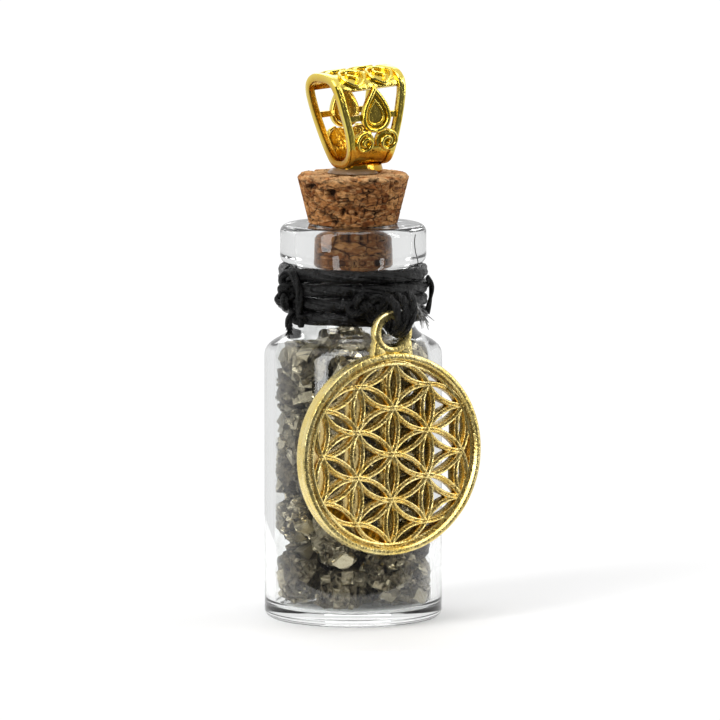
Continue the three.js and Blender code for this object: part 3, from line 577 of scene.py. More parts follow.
def crystal_chip(name, seed):
    """A rough stone made from a CAD chip, with cubes sunk in it and their shine marked."""
    draw = random.Random(seed)
    bm = bmesh.new()
    bm.from_mesh(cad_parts[name].data)
    bmesh.ops.remove_doubles(bm, verts=bm.verts, dist=1e-6)
    bmesh.ops.dissolve_limit(bm, angle_limit=0.02, verts=bm.verts, edges=bm.edges)
    bmesh.ops.triangulate(bm, faces=bm.faces)
    faces = sorted(bm.faces, key=lambda f: -f.calc_area())
    seats = []
    for face in faces:
        count = max(1, round(face.calc_area() / (MM * MM) / SKIN_PER_CUBE))
        for _ in range(count):
            a, b = sorted((draw.random(), draw.random()))
            p0, p1, p2 = (v.co for v in face.verts)
            seats.append((p0 * a + p1 * (b - a) + p2 * (1 - b), face.normal.copy()))
    bmesh.ops.subdivide_edges(bm, edges=bm.edges, cuts=2, use_grid_fill=True)
    shift = Vector((seed * 3.7, seed * 1.3, seed * 2.1))
    for vert in bm.verts:
        at = vert.co / MM
        rough = noise.noise(at * 0.9 + shift) * 0.5 + noise.noise(at * 2.6 + shift) * 0.3
        vert.co += vert.normal * (rough - 0.15) * MM
    shine = bm.verts.layers.float.new("shine")
    for vert in bm.verts:
        vert[shine] = max(0.0, noise.noise(vert.co / MM * 0.8 + shift) - 0.25) * 0.6
    glassy = draw.random()
    bare = BARE_ON_STONE if glassy < BARE_STONES else BARE_ON_CRYSTAL
    for place, normal in seats:
        if draw.random() < bare:
            continue
        size = 0.28 + 1.5 * draw.random() ** 5
        turn = Matrix.Rotation(draw.uniform(0, 6.28), 4, "X")
        turn = turn @ Matrix.Rotation(draw.uniform(0, 6.28), 4, Vector((0.4, 0.7, 0.6)))
        sunk = Matrix.Translation(place - normal * size * draw.uniform(0.25, 0.5) * MM)
        shape = Matrix.Diagonal((1, draw.uniform(0.6, 1.2), draw.uniform(0.7, 1.5), 1))
        made = bmesh.ops.create_cube(bm, size=size * MM, matrix=sunk @ turn @ shape)
        bright = draw.uniform(0.15, 1.0) * (0.4 + glassy * 0.6)
        for vert in made["verts"]:
            vert[shine] = min(1.0, bright)
    for vert in bm.verts:
        vert.co = kept_inside(vert.co)
    return bm


for seed, name in enumerate(CHIP_NODES, 11):
    chip = crystal_chip(name, seed)
    add_piece("pyrite_" + name, chip, pyrite, "bottle", [name], 20)

# %% [markdown]
# The cork is a spun profile cut fine, whose skin is pushed in where grains have torn out. The
# depth of each pit is kept as an attribute, by which the finish paints shade into the pits. The
# same attribute paints shade on the part in the bore, which little light reaches, and more towards
# its bottom.

# %% Cork stopper
low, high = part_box("cork_stopper")
CORK_LOW, CORK_TOP, CORK_R = low.z / MM, high.z / MM, high.x / MM
IN_BORE = BORE_R - 0.03
PEG_HOLE_R, PEG_HOLE_DEEP = 0.8, 3.6


def evenly(profile, step):
    """The same profile with points no further apart than a step."""
    points = [profile[0]]
    for (r0, z0), (r1, z1) in zip(profile, profile[1:]):
        count = max(1, math.ceil(math.hypot(r1 - r0, z1 - z0) / step))
        for i in range(1, count + 1):
            points.append((r0 + (r1 - r0) * i / count, z0 + (z1 - z0) * i / count))
    return points


cork_profile = [
    (PEG_HOLE_R, CORK_TOP - PEG_HOLE_DEEP),
    (PEG_HOLE_R, CORK_TOP),
    (CORK_R - 0.3, CORK_TOP),
    (CORK_R, CORK_TOP - 0.35),
    (BORE_R + 0.5, BOTTLE_TOP + 0.12),
    (IN_BORE, BOTTLE_TOP - 0.1),
    (IN_BORE, CORK_LOW + 0.12),
    (IN_BORE - 0.12, CORK_LOW),
    (0, CORK_LOW),
]
bm = turned(evenly(cork_profile, 0.16), 190)
holes = [e for e in bm.edges if e.is_boundary]
bmesh.ops.holes_fill(bm, edges=holes, sides=0)
bmesh.ops.recalc_face_normals(bm, faces=bm.faces)
bm.normal_update()
# painted shade: darker in the pits, on the part in the bore, and more towards its bottom
cork_painted_shade = bm.verts.layers.float.new("cork_painted_shade")
for vert in bm.verts:
    at = vert.co / MM
    torn = max(0.0, noise.noise(at * 1.1 + Vector((4, 9, 2))) - 0.28) * 2.4
    crack = max(0.0, 0.07 - abs(noise.noise(at * 0.75 + Vector((1, 5, 3))))) * 9
    crumb = noise.noise(at * 3.2) * 0.07
    near_peg = math.hypot(at.x, at.y) < 1.2
    depth = 0 if near_peg else min(0.45, torn * 0.9 + crack * 0.35)
    free = 1.0 if at.z > BOTTLE_TOP + 0.2 else 0.35
    painted_bore_shade = 0.6 if at.z < BOTTLE_TOP else 0.0
    painted_bore_shade += max(0.0, (CORK_LOW + 1.2 - at.z) * 0.2)
    vert[cork_painted_shade] = min(1.0, depth * 2.2 + painted_bore_shade)
    vert.co -= vert.normal * (depth * free + max(0, crumb) * free) * MM
add_piece("cork_plug", bm, cork, "stopper", ["cork_stopper"], 60)

# %% [markdown]
# The bail is a band bent into a closed loop. Its pattern is drawn flat, with x across the band
# and s along the loop from the middle of the foot up the front, over the crown and down the
# back, and then each point is laid on the loop. Flat parts start as a grid, get their thickness
# by solidify and their soft edges by bevel. Raised lines start as a curve with a round bevel.

# %% Bail: the loop that the pattern lies on
HALF_DEPTH, BAIL_TALL, WIDEST = 3.5, 9.8, 6.8
BLUNT = 2 / 2.6
SEAT_AT, SEAT_TILT = Vector((0.9, 0, 45.83)), math.radians(-4.5)
BAIL_SEAT = Matrix.Translation(SEAT_AT * MM) @ Matrix.Rotation(SEAT_TILT, 4, "Y")


def loop_point(t):
    """A point of the loop, a rounded, blunt shape that is widest above its middle."""
    angle = -math.pi / 2 - 2 * math.pi * t
    c, s = math.cos(angle), math.sin(angle)
    reach = BAIL_TALL - WIDEST if s > 0 else WIDEST
    y = HALF_DEPTH * math.copysign(abs(c) ** BLUNT, c)
    return Vector((0, y, WIDEST + reach * math.copysign(abs(s) ** BLUNT, s)))


STEPS = 720
LOOP = [loop_point(i / STEPS) for i in range(STEPS)]
LENGTHS = [0.0]
for one, two in zip(LOOP, LOOP[1:] + LOOP[:1]):
    LENGTHS.append(LENGTHS[-1] + (two - one).length)
AROUND = LENGTHS[-1]


def on_loop(s):
    """The point and the outward direction at a length s along the loop."""
    s %= AROUND
    i = bisect.bisect_right(LENGTHS, s, 0, STEPS) - 1
    share = (s - LENGTHS[i]) / max(1e-9, LENGTHS[i + 1] - LENGTHS[i])
    here, there = LOOP[i], LOOP[(i + 1) % STEPS]
    along = LOOP[(i + 4) % STEPS] - LOOP[(i - 3) % STEPS]
    outward = Vector((0, -along.z, along.y)).normalized()
    return here.lerp(there, share), outward


def length_at(height):
    """How far along the loop the front wall reaches a height."""
    return next(LENGTHS[i] for i in range(STEPS // 2) if LOOP[i].z >= height)


def half_width(s):
    """Half the band's width: wide at the crown, drawn in towards the foot."""
    z = on_loop(s)[0].z
    t = min(1.0, max(0.0, (z - 1.0) / 7.7))
    return 2.6 + 1.45 * (t * t * (3 - 2 * t) * 0.55 + t * 0.45)


def laid(point):
    """A flat point (x, s, height over the band's face) on the bent band, in place."""
    here, outward = on_loop(point[1])
    return BAIL_SEAT @ ((Vector((point[0], 0, 0)) + here + outward * point[2]) * MM)


print("bail loop", round(AROUND, 2), "mm around")

# %% [markdown]
# The pattern has two kinds of parts. A plate lies between two side lines, and a raised line
# follows a path. Both are made flat and then laid on the loop.

# %% Bail: flat parts and raised lines


def plate(left, right, start, end, face, thick, across, along, edge=0.1):
    """A flat part between two side lines, from start to end along the loop, laid on it."""
    bm = bmesh.new()
    bmesh.ops.create_grid(bm, x_segments=across, y_segments=along, size=1)
    for vert in bm.verts:
        s = start + (end - start) * (vert.co.y + 1) / 2
        share = (vert.co.x + 1) / 2
        vert.co = laid((left(s) + (right(s) - left(s)) * share, s, face))
    bmesh.ops.remove_doubles(bm, verts=bm.verts, dist=1e-6)
    bm.normal_update()
    if next(iter(bm.faces)).normal.dot(on_loop(start + (end - start) * 0.02)[1]) < 0:
        bmesh.ops.reverse_faces(bm, faces=bm.faces)
    bmesh.ops.solidify(bm, geom=list(bm.faces), thickness=thick * MM)
    bm.normal_update()
    crisp = [e for e in bm.edges if len(e.link_faces) == 2 and e.calc_face_angle() > 0.9]
    softened(bm, crisp, edge * MM, 2)
    bmesh.ops.recalc_face_normals(bm, faces=bm.faces)
    return bm


def round_line(points, radius, flat=0.0, closed=False, sides=2, radii=None):
    """A round line through points, in metres. flat stretches it along the curve's normal."""
    curve = bpy.data.curves.new("line", "CURVE")
    curve.dimensions = "2D" if flat else "3D"
    curve.bevel_depth = radius
    curve.bevel_resolution = sides
    curve.extrude = flat
    curve.use_fill_caps = not closed
    spline = curve.splines.new("POLY")
    spline.points.add(len(points) - 1)
    for i, point in enumerate(points):
        spline.points[i].co = (*point, 1)
        if radii:
            spline.points[i].radius = radii[i]
    spline.use_cyclic_u = closed
    holder = bpy.data.objects.new("line", curve)
    scene.collection.objects.link(holder)
    bpy.context.view_layer.update()
    shown = holder.evaluated_get(bpy.context.evaluated_depsgraph_get())
    data = bpy.data.meshes.new_from_object(shown)
    bm = bmesh.new()
    bm.from_mesh(data)
    bpy.data.meshes.remove(data)
    bpy.data.objects.remove(holder)
    bpy.data.curves.remove(curve)
    return bm


def raised(points, width, bottom, top, closed=False):
    """A line with a rounded top and bottom through flat (x, s) points, laid on the loop."""
    flat = max(1e-5, ((top - bottom) - width) / 2)
    bm = round_line([(x, s, 0) for x, s in points], width / 2, flat, closed)
    bmesh.ops.remove_doubles(bm, verts=bm.verts, dist=1e-4)
    for vert in bm.verts:
        vert.co = laid((vert.co.x, vert.co.y, vert.co.z + (top + bottom) / 2))
    bmesh.ops.recalc_face_normals(bm, faces=bm.faces)
    return bm


def joined(parts):
    """One bmesh of several, which are used up."""
    whole = bmesh.new()
    for part in parts:
        data = bpy.data.meshes.new("part")
        part.to_mesh(data)
        part.free()
        whole.from_mesh(data)
        bpy.data.meshes.remove(data)
    return whole


def drop_outline(half, low_s, high_s):
    """A teardrop with its tip up, as (x, s) points."""
    points = []
    for i in range(40):
        t = 2 * math.pi * i / 40
        height = (1 - math.cos(t)) / 2
        width = math.sin(t) * (1 - height) ** 0.55 * 1.32
        points.append((half * width, low_s + (high_s - low_s) * height))
    return points


def volute(x, s, radius, turns, spin, start):
    """A scroll that winds inwards from its outer end."""
    points = []
    for i in range(40):
        t = i / 39
        angle = start + spin * turns * 2 * math.pi * t
        reach = radius * (1 - 0.82 * t)
        points.append((x + reach * math.cos(angle), s + reach * math.sin(angle)))
    return points


def mirrored(points, back):
    """The same flat points on the back wall when back is true."""
    return [(x, AROUND - s) for x, s in points] if back else points


print("crown at", round(AROUND / 2, 2), "mm along the loop")

# %% [markdown]
# The front and the back wall carry the same parts: a short bar on either side of the drop, two
# scrolls above the foot, two leaves on the crown, and the drop with its inner line. Lengths for
# the back are the front's, counted from the other end. Under the foot stands a softened cone,
# the boss through which the bail meets the cork.

# %% Bail: its pattern
BAND, EDGE_WIDTH, DROP_X = 0.85, 0.78, 0.3
CROWN = AROUND / 2
S_FOOT, S_CURL, S_LINK, S_CROWN = (length_at(z) for z in (2.15, 2.55, 5.2, 8.15))
S_LEAF = (S_CROWN + CROWN) / 2 - 0.1
DROP_LOW, DROP_HIGH = length_at(3.55), length_at(8.0)
EDGE_BAND = (0, AROUND, 0.05, BAND, 3, 150, 0.16)
CURL_X, CURL_R, DISC_UNDER = 1.25, 1.12, 1.14


def inner_edge(s):
    """Where the plates end under the proud edge, from the middle of the width."""
    return half_width(s) - EDGE_WIDTH * 0.7


def flipped(start, end, back):
    """A stretch of the front wall, or the same stretch of the back wall."""
    return (AROUND - end, AROUND - start) if back else (start, end)


def side_bar(sign, back):
    sides = (lambda s: DROP_X + sign * 1.3), (lambda s: sign * inner_edge(s))
    start, end = flipped(S_LINK - 0.32, S_LINK + 0.32, back)
    return plate(*sides[::sign], start, end, -0.2, 0.5, 3, 4, 0.08)


def scroll(sign, back):
    """A raised scroll and the round plate under it."""
    x = DROP_X + sign * CURL_X
    at = AROUND - S_CURL if back else S_CURL

    def reach(s):
        return math.sqrt(max(1e-4, DISC_UNDER**2 - (at - s) ** 2))

    curl = volute(x, S_CURL, CURL_R, 1.5, -sign, math.pi / 2)
    sides = (lambda s: x - reach(s)), (lambda s: x + reach(s))
    return [
        raised(mirrored(curl, back), 0.38, -0.45, 0.3),
        plate(*sides, at - 1.1, at + 1.1, -0.2, 0.62, 8, 12, 0.06),
    ]


def crown_leaf(sign, back):
    """A leaf's outline and its waving vein."""
    x = 0.1 + sign * 1.55
    leaf, vein = [], []
    for i in range(28):
        t = 2 * math.pi * i / 28
        lens = math.copysign(abs(math.sin(t)) ** 1.4, math.sin(t))
        leaf.append((x + 1.3 * lens, S_LEAF - 1.5 * math.cos(t)))
    for i in range(22):
        t = i / 21
        bend = 0.5 * math.sin(t * 2 * math.pi) * (1 - t * 0.4)
        vein.append((x + bend, S_LEAF - 1.1 + 2.2 * t))
    return [
        raised(mirrored(leaf, back), 0.3, -0.4, 0.16, True),
        raised(mirrored(vein, back), 0.26, -0.4, 0.04),
    ]


def drop(back):
    """The drop's two raised lines and the plate that fills it."""
    start, end = flipped(DROP_LOW + 0.3, DROP_HIGH - 0.35, back)

    def half(s):
        rise = min(1, max(0, (s - start) / (end - start)))
        rise = 1 - rise if back else rise
        return max(0.03, 1.4 * math.sin(math.pi * (1 - rise) ** 1.35) ** 0.8)

    made = []
    for wide, low_s, high_s, width, top in (
        (1.4, DROP_LOW + 0.25, DROP_HIGH - 0.05, 0.46, 0.22),
        (0.9, DROP_LOW + 0.85, DROP_HIGH - 1.15, 0.26, -0.08),
    ):
        outline = [(x + DROP_X, s) for x, s in drop_outline(wide, low_s, high_s)]
        made.append(raised(mirrored(outline, back), width, -0.62, top, True))
    sides = (lambda s: DROP_X - half(s)), (lambda s: DROP_X + half(s))
    return [*made, plate(*sides, start, end, -0.32, 0.42, 8, 24, 0.05)]


parts = [
    plate(lambda s: -half_width(s), lambda s: EDGE_WIDTH - half_width(s), *EDGE_BAND),
    plate(lambda s: half_width(s) - EDGE_WIDTH, half_width, *EDGE_BAND),
]
for start, end, face, rows in (
    (S_CROWN, AROUND - S_CROWN, -0.25, 40),
    (-S_FOOT, S_FOOT, -0.12, 30),
):
    parts.append(plate(lambda s: -inner_edge(s), inner_edge, start, end, face, 0.6, 10, rows))
for back in (False, True):
    for sign in (-1, 1):
        parts += [side_bar(sign, back), *scroll(sign, back), *crown_leaf(sign, back)]
    parts += drop(back)

BOSS_PLACE = Matrix.Translation((0.75, 0, 45.66)) @ Matrix.Diagonal((1, 0.74, 1, 1))
boss = bmesh.new()
bmesh.ops.create_cone(boss, cap_ends=True, segments=48, radius1=2.55, radius2=2.3, depth=0.95)
softened(boss, [e for e in boss.edges if abs(e.verts[0].co.z - e.verts[1].co.z) < 0.1], 0.25, 3)
bmesh.ops.transform(boss, matrix=Matrix.Scale(MM, 4) @ BOSS_PLACE, verts=boss.verts)
bm = joined([*parts, boss])
# painted shade: depth darkens the bail below its proud edges, and more towards its foot and the
# boss
depth = bm.verts.layers.float.new("depth")
to_loop = BAIL_SEAT.inverted()
for vert in bm.verts:
    local = to_loop @ vert.co / MM
    nearest = min(range(0, STEPS, 6), key=lambda i: (LOOP[i].yz - local.yz).length_squared)
    here, outward = on_loop(LENGTHS[nearest])
    under = (here - Vector((0, local.y, local.z))).dot(outward)
    painted_foot_shade = max(0.0, 1 - local.z / 2.6)
    vert[depth] = min(1.0, max(0.0, (under - 0.02) * 1.1) * 0.8 + painted_foot_shade * 0.75)
add_piece("openwork_bail", bm, bright_gold, "stopper", ["bail"], 35)

# %% [markdown]
# The glue bead and the peg under the bail are hardly seen, so their CAD solids stay. Only their
# finish changes.

# %% Carried solids
for name, look in (("bail_peg", bright_gold), ("glue_bead", glue)):
    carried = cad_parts[name]
    carried.data.materials.clear()
    carried.data.materials.append(look)
print("carried: bail_peg, glue_bead")

# %% [markdown]
# The cord is wound round the neck in four turns that lie level and step up behind the side knot.
# Four strands lie in it with a long twist, so grooves run along it. Each strand is a curve with
# a round bevel, made a mesh.

# %% Cord helpers
CORD_SHARP = 80


def add_cord(name, bm, stands_for, look=waxed_cord, body="bottle"):
    add_piece(name, bm, look, body, stands_for, CORD_SHARP)


def strands(points, radius, count=3, lay=9.0, closed=False):
    """A cord of twisted strands along points in millimetres, as one bmesh in metres."""
    lengths = [0.0]
    for one, two in zip(points, points[1:]):
        lengths.append(lengths[-1] + (two - one).length)
    total = lengths[-1]
    turns = max(1, round(total / lay)) if closed else total / lay
    frames = []
    normal = Vector((0, 0, 1))
    for i, point in enumerate(points):
        before = points[i - 1] if i or closed else point
        after = points[(i + 1) % len(points)] if i + 1 < len(points) or closed else point
        tangent = (after - before).normalized()
        normal = (normal - tangent * normal.dot(tangent)).normalized()
        frames.append((normal, tangent.cross(normal)))
    thick = radius * (0.56 if count == 3 else 0.62)
    offset = radius - thick
    parts = []
    for k in range(count):
        path = []
        for point, length, (up, across) in zip(points, lengths, frames):
            angle = 2 * math.pi * (k / count + turns * length / total)
            side = up * math.cos(angle) * offset + across * math.sin(angle) * offset
            path.append((point + side) * MM)
        bm = round_line(path, thick * MM, closed=closed, sides=3)
        bmesh.ops.recalc_face_normals(bm, faces=bm.faces)
        parts.append(bm)
    return joined(parts)


def round_neck(angle_deg, radius, height):
    angle = math.radians(angle_deg)
    return Vector((radius * math.cos(angle), radius * math.sin(angle), height))


def smooth_path(knots):
    """Points of a Catmull-Rom curve through a few knots."""
    points = []
    for i in range(len(knots) - 1):
        p = [knots[max(0, min(len(knots) - 1, i + j - 1))] for j in range(4)]
        for t in (k / 8 for k in range(8)):
            bend = (2 * p[0] - 5 * p[1] + 4 * p[2] - p[3]) * t * t
            twist = (3 * p[1] - p[0] - 3 * p[2] + p[3]) * t**3
            points.append(0.5 * (2 * p[1] + (p[2] - p[0]) * t + bend + twist))
    return [*points, knots[-1]]


# %% Neck windings
low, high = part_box("neck_cord")
CORD_R = 0.69
WRAP_R = NECK_R + 0.04 + CORD_R
WRAP_LOW, WRAP_HIGH = low.z / MM + CORD_R, high.z / MM - CORD_R
TURNS, TIED_AT, STEP_OVER = 4, 181, 70
PITCH = (WRAP_HIGH - WRAP_LOW) / (TURNS - 1)
rings = []
for i in range(TURNS * 90 - 1):
    angle = TIED_AT + 4 * i
    turn, part = divmod(4 * i, 360)
    rise = min(1.0, max(0.0, (part - 360 + STEP_OVER) / STEP_OVER))
    rise = rise if turn < TURNS - 1 else 0.0
    level = turn + rise * rise * (3 - 2 * rise)
    sway = 0.06 * math.sin(math.radians(angle * 2.3))
    sway += 0.04 * math.sin(math.radians(angle * 5.1))
    rings.append(round_neck(angle, WRAP_R + abs(sway), WRAP_LOW + level * PITCH + sway))
add_cord("cord_windings", strands(rings, CORD_R * 1.03, 4, 14), ["neck_cord"])

# %% [markdown]
# The ends are tied at the side in an overhand knot. A trefoil is the path of such a knot, so the
# cord follows one, flattened against the windings. Short ends and a crossing strand lie by it.

# %% Side knot and loose ends
OUT = WRAP_R + CORD_R


def trefoil(angle_deg, height, wide, tall, thick, out, tilt):
    """A trefoil facing outwards at an angle round the neck."""
    points = []
    for i in range(64):
        t = 2 * math.pi * i / 64
        x = (math.sin(t) + 2 * math.sin(2 * t)) / 2.7
        z = (math.cos(t) - 2 * math.cos(2 * t)) / 2.7
        x, z = Matrix.Rotation(tilt, 2) @ Vector((x, z))
        flat = Vector((out - thick * math.sin(3 * t), x * wide, height + z * tall))
        points.append(Matrix.Rotation(math.radians(angle_deg), 3, "Z") @ flat)
    return points


low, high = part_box("side_knot")
KNOT_Z = (low.z + high.z) / 2 / MM


def path_by_knot(*places):
    """A smooth path by (angle, distance out from the windings, height over the knot)."""
    return smooth_path([round_neck(a, OUT + out, KNOT_Z + up) for a, out, up in places])


knot = strands(trefoil(181, KNOT_Z - 0.15, 0.82, 1.0, 0.42, OUT + 0.35, 0.5), 0.46, 3, 7, True)
over = path_by_knot(
    (184, 0.2, 0.4),
    (178, 0.5, 1.5),
    (182, 0.1, 2.3),
    (190, 0.15, 2.2),
    (196, 0.25, 1.0),
    (198, 0.3, -0.6),
    (196, 0.1, -2.0),
)
add_cord("tied_side_knot", joined([knot, strands(over, 0.42, 3, 8)]), ["side_knot"])


def tuft(at, towards, length, spread, count, radius, seed):
    """A tuft of loose fibres from one point, in millimetres."""
    draw = random.Random(seed)
    parts = []
    for _ in range(count):
        aim = towards + Vector([draw.uniform(-spread, spread) for _ in range(3)])
        reach = length * draw.uniform(0.5, 1.0)
        bend = Vector([draw.uniform(-0.25, 0.25) for _ in range(3)])
        start = at + Vector([draw.uniform(-0.15, 0.15) for _ in range(3)])
        path = [start + aim * reach * t + bend * t * t * reach for t in (0, 0.25, 0.5, 0.75, 1)]
        path = [point * MM for point in path]
        bm = round_line(path, radius * MM, sides=0, radii=(1, 1, 0.9, 0.7, 0.4))
        bmesh.ops.recalc_face_normals(bm, faces=bm.faces)
        parts.append(bm)
    return joined(parts)


END_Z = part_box("side_loose_end")[0].z / MM
stub_path = path_by_knot((190, 0.2, -1.4), (187, 0.35, -2.3), (186, 0.3, END_Z + 0.9 - KNOT_Z))
stub = strands(stub_path, 0.42, 3, 6)
brush = tuft(stub_path[-1], Vector((-0.2, -0.2, -1)), 1.0, 0.5, 26, 0.07, 3)
lump = strands(trefoil(197, KNOT_Z - 2.35, 0.6, 0.42, 0.2, OUT + 0.1, 0.2), 0.34, 3, 5, True)
add_cord("side_cord_end", joined([stub, brush, lump]), ["side_loose_end"])

# %% [markdown]
# On the other side the cord ends in a thin black tail and two tufts of bare fibre. One stray
# fibre stands up against the glass of the lip.

# %% Frayed end
drip = path_by_knot((-40, 0.05, 1.6), (-33, 0.35, 0.6), (-31, 0.25, -0.6), (-33, -0.1, -2.2))
stray = smooth_path(
    [
        round_neck(-62, OUT - 0.3, 35.4),
        round_neck(-60, LIP_R + 0.2, 36.4),
        round_neck(-64, LIP_R + 0.25, 37.6),
        round_neck(-65, LIP_R + 0.22, 38.6),
        round_neck(-63, LIP_R + 0.15, 39.3),
    ]
)
hair = round_line([p * MM for p in stray], 0.05 * MM, sides=1)
add_cord("black_cord_end", joined([strands(drip, 0.3, 2, 6), hair]), ["frayed_end"])
low_tuft = round_neck(-60, OUT + 0.1, KNOT_Z - 1.2)
high_tuft = round_neck(-66, OUT + 0.05, KNOT_Z - 0.5)
grey = [
    tuft(low_tuft, Vector((0.35, -0.2, -1)), 1.7, 0.35, 30, 0.07, 8),
    tuft(high_tuft, Vector((0.3, -0.1, -0.8)), 1.4, 0.35, 26, 0.07, 9),
]
add_cord("frayed_fibres", joined(grey), (), frayed_fibre)

# %% [markdown]
# The charm hangs in a bight of the same cord. It comes from a flat knot in front of the
# windings and lies in three strands over and through the charm's ring. The bight rides on its
# own body, so that it swings with the charm while the knot stays.

# %% Charm knot and bight
low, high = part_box("hanger_bight")
BIGHT = (low + high) / 2 / MM
BIGHT_R = (high.z - low.z) / 2 / MM - CORD_R
low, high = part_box("charm_knot")
CHARM_KNOT = (low + high) / 2 / MM
knot_angle = math.degrees(math.atan2(CHARM_KNOT.y, CHARM_KNOT.x))
knot_z = CHARM_KNOT.z + 0.1
first = trefoil(knot_angle + 5, knot_z, 1.1, 0.95, 0.28, OUT + 0.25, 0.9)
second = trefoil(knot_angle + 13, knot_z, 0.9, 1.15, 0.25, OUT + 0.3, 2.2)
fuzz_at = round_neck(knot_angle + 8, OUT + 0.5, CHARM_KNOT.z + 1.0)
flat_knot = [
    strands(first, 0.46, 3, 7, True),
    strands(second, 0.45, 3, 7, True),
    tuft(fuzz_at, Vector((0.1, -0.5, 0.6)), 0.6, 0.8, 30, 0.05, 12),
]
add_cord("tied_charm_knot", joined(flat_knot), ["charm_knot"])

loops = []
for shift, grow, lean in ((-0.1, 0.0, -0.15), (0.62, 0.12, 0.12), (1.3, 0.22, 0.35)):
    ring = []
    for i in range(40):
        t = 2 * math.pi * i / 40
        r = BIGHT_R + grow
        offset = shift + lean * math.sin(t) * r
        forward = -r * math.cos(t) * 1.05 - 0.1
        ring.append(BIGHT + Vector((offset, forward, r * math.sin(t) * 1.13)))
    loops.append(strands(ring, 0.45, 3, 5, True))
add_cord("cord_bight", joined(loops), ["hanger_bight"], body="charm_cord")

# %% [markdown]
# The charm is a cast disc. Its lattice is one pattern of circles: round every crossing runs a
# rib whose radius is the distance to the next crossing, so six ribs meet in each crossing and
# leave petals between them. A rib is one small profile, two thin proud lines with a groove
# between them, spun about a crossing. Where a neighbour is missing the spin stops short.

# %% Charm: sizes and crossings
low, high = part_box("charm")
DISC_R = (high.x - low.x) / 2 / MM
CHARM_TALL = (high.z - low.z) / MM
DISC = Vector(((low.x + high.x) / 2 / MM, (low.y + high.y) / 2 / MM, low.z / MM + DISC_R))
RIM_WIDTH, HALF_RIB, TOP = 1.2, 0.27, 0.65
RIM_R = DISC_R - RIM_WIDTH
SPACING = (RIM_R + 0.24) / 2
DISC_SEAT = (
    Matrix.Translation(DISC * MM)
    @ Matrix.Rotation(math.radians(1.1), 4, "Y")
    @ Matrix.Rotation(math.radians(90), 4, "X")
)


def heading(degrees, length=1.0):
    return Vector((math.cos(math.radians(degrees)), math.sin(math.radians(degrees)), 0)) * length


def crossings(rings):
    """The crossings of the pattern out to a number of rings, in millimetres."""
    span = range(-rings, rings + 1)
    across, up = heading(30, SPACING), heading(90, SPACING)
    return [across * i + up * j for i in span for j in span if abs(i + j) <= rings]


CROSSINGS = crossings(2)
print("charm", round(DISC_R, 2), "mm radius,", len(CROSSINGS), "crossings")

# %% Charm: the ribs of the lattice
RIB_TOP = [(-HALF_RIB, TOP - 0.1), (-0.22, TOP - 0.02), (-0.17, TOP), (-0.12, TOP - 0.05)]
RIB_TOP += [(0, TOP - 0.13)]
RIB_TOP += [(-r, z) for r, z in RIB_TOP[-2::-1]]
RIB_PROFILE = RIB_TOP + [(r, -z) for r, z in RIB_TOP[::-1]]


def rib(centre, start, sweep):
    """A rib spun about a crossing, from a heading through a sweep, in degrees."""
    bm = bmesh.new()
    verts = [bm.verts.new((SPACING + r, 0, z)) for r, z in RIB_PROFILE]
    edges = [bm.edges.new(pair) for pair in zip(verts, verts[1:] + verts[:1])]
    turn = Matrix.Rotation(math.radians(start), 3, "Z")
    bmesh.ops.rotate(bm, verts=verts, cent=(0, 0, 0), matrix=turn)
    spun(bm, verts + edges, math.radians(sweep), round(sweep / 4), merge=sweep == 360)
    bmesh.ops.holes_fill(bm, edges=[e for e in bm.edges if e.is_boundary], sides=0)
    bmesh.ops.translate(bm, verts=bm.verts, vec=centre)
    bmesh.ops.recalc_face_normals(bm, faces=bm.faces)
    return bm


ribs = []
for centre in crossings(3):
    around = [centre + heading(30 + 60 * k, SPACING) for k in range(6)]
    met = [any((spot - c).length < 0.01 for c in CROSSINGS) for spot in around]
    if all(met):
        ribs.append(rib(centre, 30, 360))
        continue
    for k in range(6):
        run = 0
        while met[(k + run) % 6]:
            run += 1
        if not met[k - 1] and run > 1:
            ribs.append(rib(centre, 30 + 60 * k, 60 * (run - 1)))
print("ribs:", len(ribs))
lattice = joined(ribs)
bmesh.ops.scale(lattice, vec=(MM, MM, MM), verts=lattice.verts)
open_edges = sum(e.is_boundary for e in lattice.edges)
print("lattice:", len(lattice.faces), "faces,", open_edges, "open edges")

# %% [markdown]
# The rim is a flat ring with a bead inside it, and the hanging ring is a small one of its own,
# both spun. Two flared feet join them. In two petals at the rim the casting left a thin skin.

# %% Charm: rim, ring and casting flash
RIM_TOP = [(0.08, 0), (0, 0.3), (0, 0.66), (0.1, 0.82), (0.3, 0.9), (0.52, 0.86), (0.66, 0.7)]
RIM_TOP += [(0.76, 0.56), (0.9, 0.55), (1.0, 0.66), (1.1, 0.72), (1.22, 0.66), (1.28, 0.5)]
RIM_TOP += [(1.26, 0.0)]
rim_profile = [(DISC_R - inset, z) for inset, z in RIM_TOP]
rim_profile += [(r, -z) for r, z in rim_profile[-2:0:-1]]
rim = turned(rim_profile, 144, closed=True)

RING_HOLE, RING_SECTION = 1.3, 0.9
RING_HALF = [(0.1, 0.5), (0.25, 0.6), (0.65, 0.6), (0.8, 0.5), (0.9, 0.3)]
ring_middle = CHARM_TALL - DISC_R - RING_HOLE - RING_SECTION
ring_profile = [(0.1, -0.5), (0, -0.25), (0, 0.25), *RING_HALF]
ring_profile += [(r, -z) for r, z in RING_HALF[:0:-1]]
ring_profile = [(RING_HOLE + r, z) for r, z in ring_profile]
ring = turned(ring_profile, 56, closed=True)
bmesh.ops.translate(ring, verts=ring.verts, vec=(0, ring_middle * MM, 0))


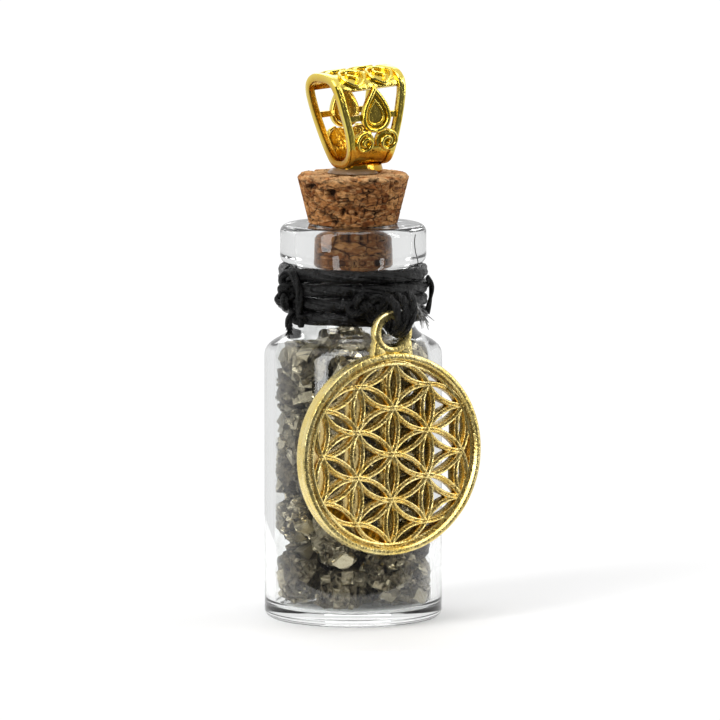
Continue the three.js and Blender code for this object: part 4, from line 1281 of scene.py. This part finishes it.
def foot(sign):
    """The flared foot where the ring grows out of the rim."""
    bm = bmesh.new()
    outline = [(0.55, 9.7), (2.35, 9.4), (2.2, 10.3), (2.12, 11.2), (1.85, 11.6)]
    outline += [(1.25, 11.0), (0.95, 10.5)]
    verts = [bm.verts.new((sign * x * MM, y * MM, -0.55 * MM)) for x, y in outline]
    face = bm.faces.new(verts)
    lifted = bmesh.ops.extrude_face_region(bm, geom=[face], use_keep_orig=True)
    tops = [g for g in lifted["geom"] if isinstance(g, bmesh.types.BMVert)]
    bmesh.ops.translate(bm, verts=tops, vec=(0, 0, 1.1 * MM))
    bmesh.ops.recalc_face_normals(bm, faces=bm.faces)
    softened(bm, list(bm.edges), 0.14 * MM, 3)
    return bm


def flash(a, b):
    """A thin skin of metal left between two crossings by the casting."""
    middle, along = (a + b) / 2, (b - a).normalized()
    side = Vector((-along.y, along.x, 0)) * SPACING * math.sqrt(3) / 2
    bm = bmesh.new()
    for centre, start in ((middle - side, b), (middle + side, a)):
        spun(bm, [bm.verts.new(start)], math.radians(60), 12, cent=centre)
    bmesh.ops.remove_doubles(bm, verts=bm.verts, dist=0.02)
    bmesh.ops.triangle_fill(bm, edges=bm.edges, use_beauty=True, normal=(0, 0, 1))
    bmesh.ops.translate(bm, verts=bm.verts, vec=(0, 0, 0.2))
    bmesh.ops.solidify(bm, geom=list(bm.faces), thickness=0.3)
    bmesh.ops.subdivide_edges(bm, edges=bm.edges, cuts=2, use_grid_fill=True)
    bmesh.ops.recalc_face_normals(bm, faces=bm.faces)
    for vert in bm.verts:
        vert.co.z += noise.noise(vert.co * 1.6) * 0.16
    bmesh.ops.scale(bm, vec=(MM, MM, MM), verts=bm.verts)
    return bm


left_corner, right_corner = heading(210, 2 * SPACING), heading(270, 2 * SPACING)
between = heading(240, math.sqrt(3) * SPACING)
skins = [flash(left_corner, between), flash(between, right_corner)]
charm = joined([lattice, rim, ring, foot(-1), foot(1), *skins])
# painted shade: depth darkens the lattice below its proud top, and the groove inside the rim
depth = charm.verts.layers.float.new("depth")
for vert in charm.verts:
    proud = abs(vert.co.z) / MM
    radius = vert.co.xy.length / MM
    if radius > RIM_R + 0.12:
        sunk = 0.5 if proud < 0.62 and radius < DISC_R - 0.5 else 0.0
    else:
        sunk = min(1.0, max(0.0, (0.64 - proud) * 4))
    vert[depth] = sunk
bmesh.ops.transform(charm, matrix=DISC_SEAT, verts=charm.verts)
add_piece("openwork_charm", charm, antique_gold, "charm", ["charm"], 35)

# %% [markdown]

# %% End
print("scene built")
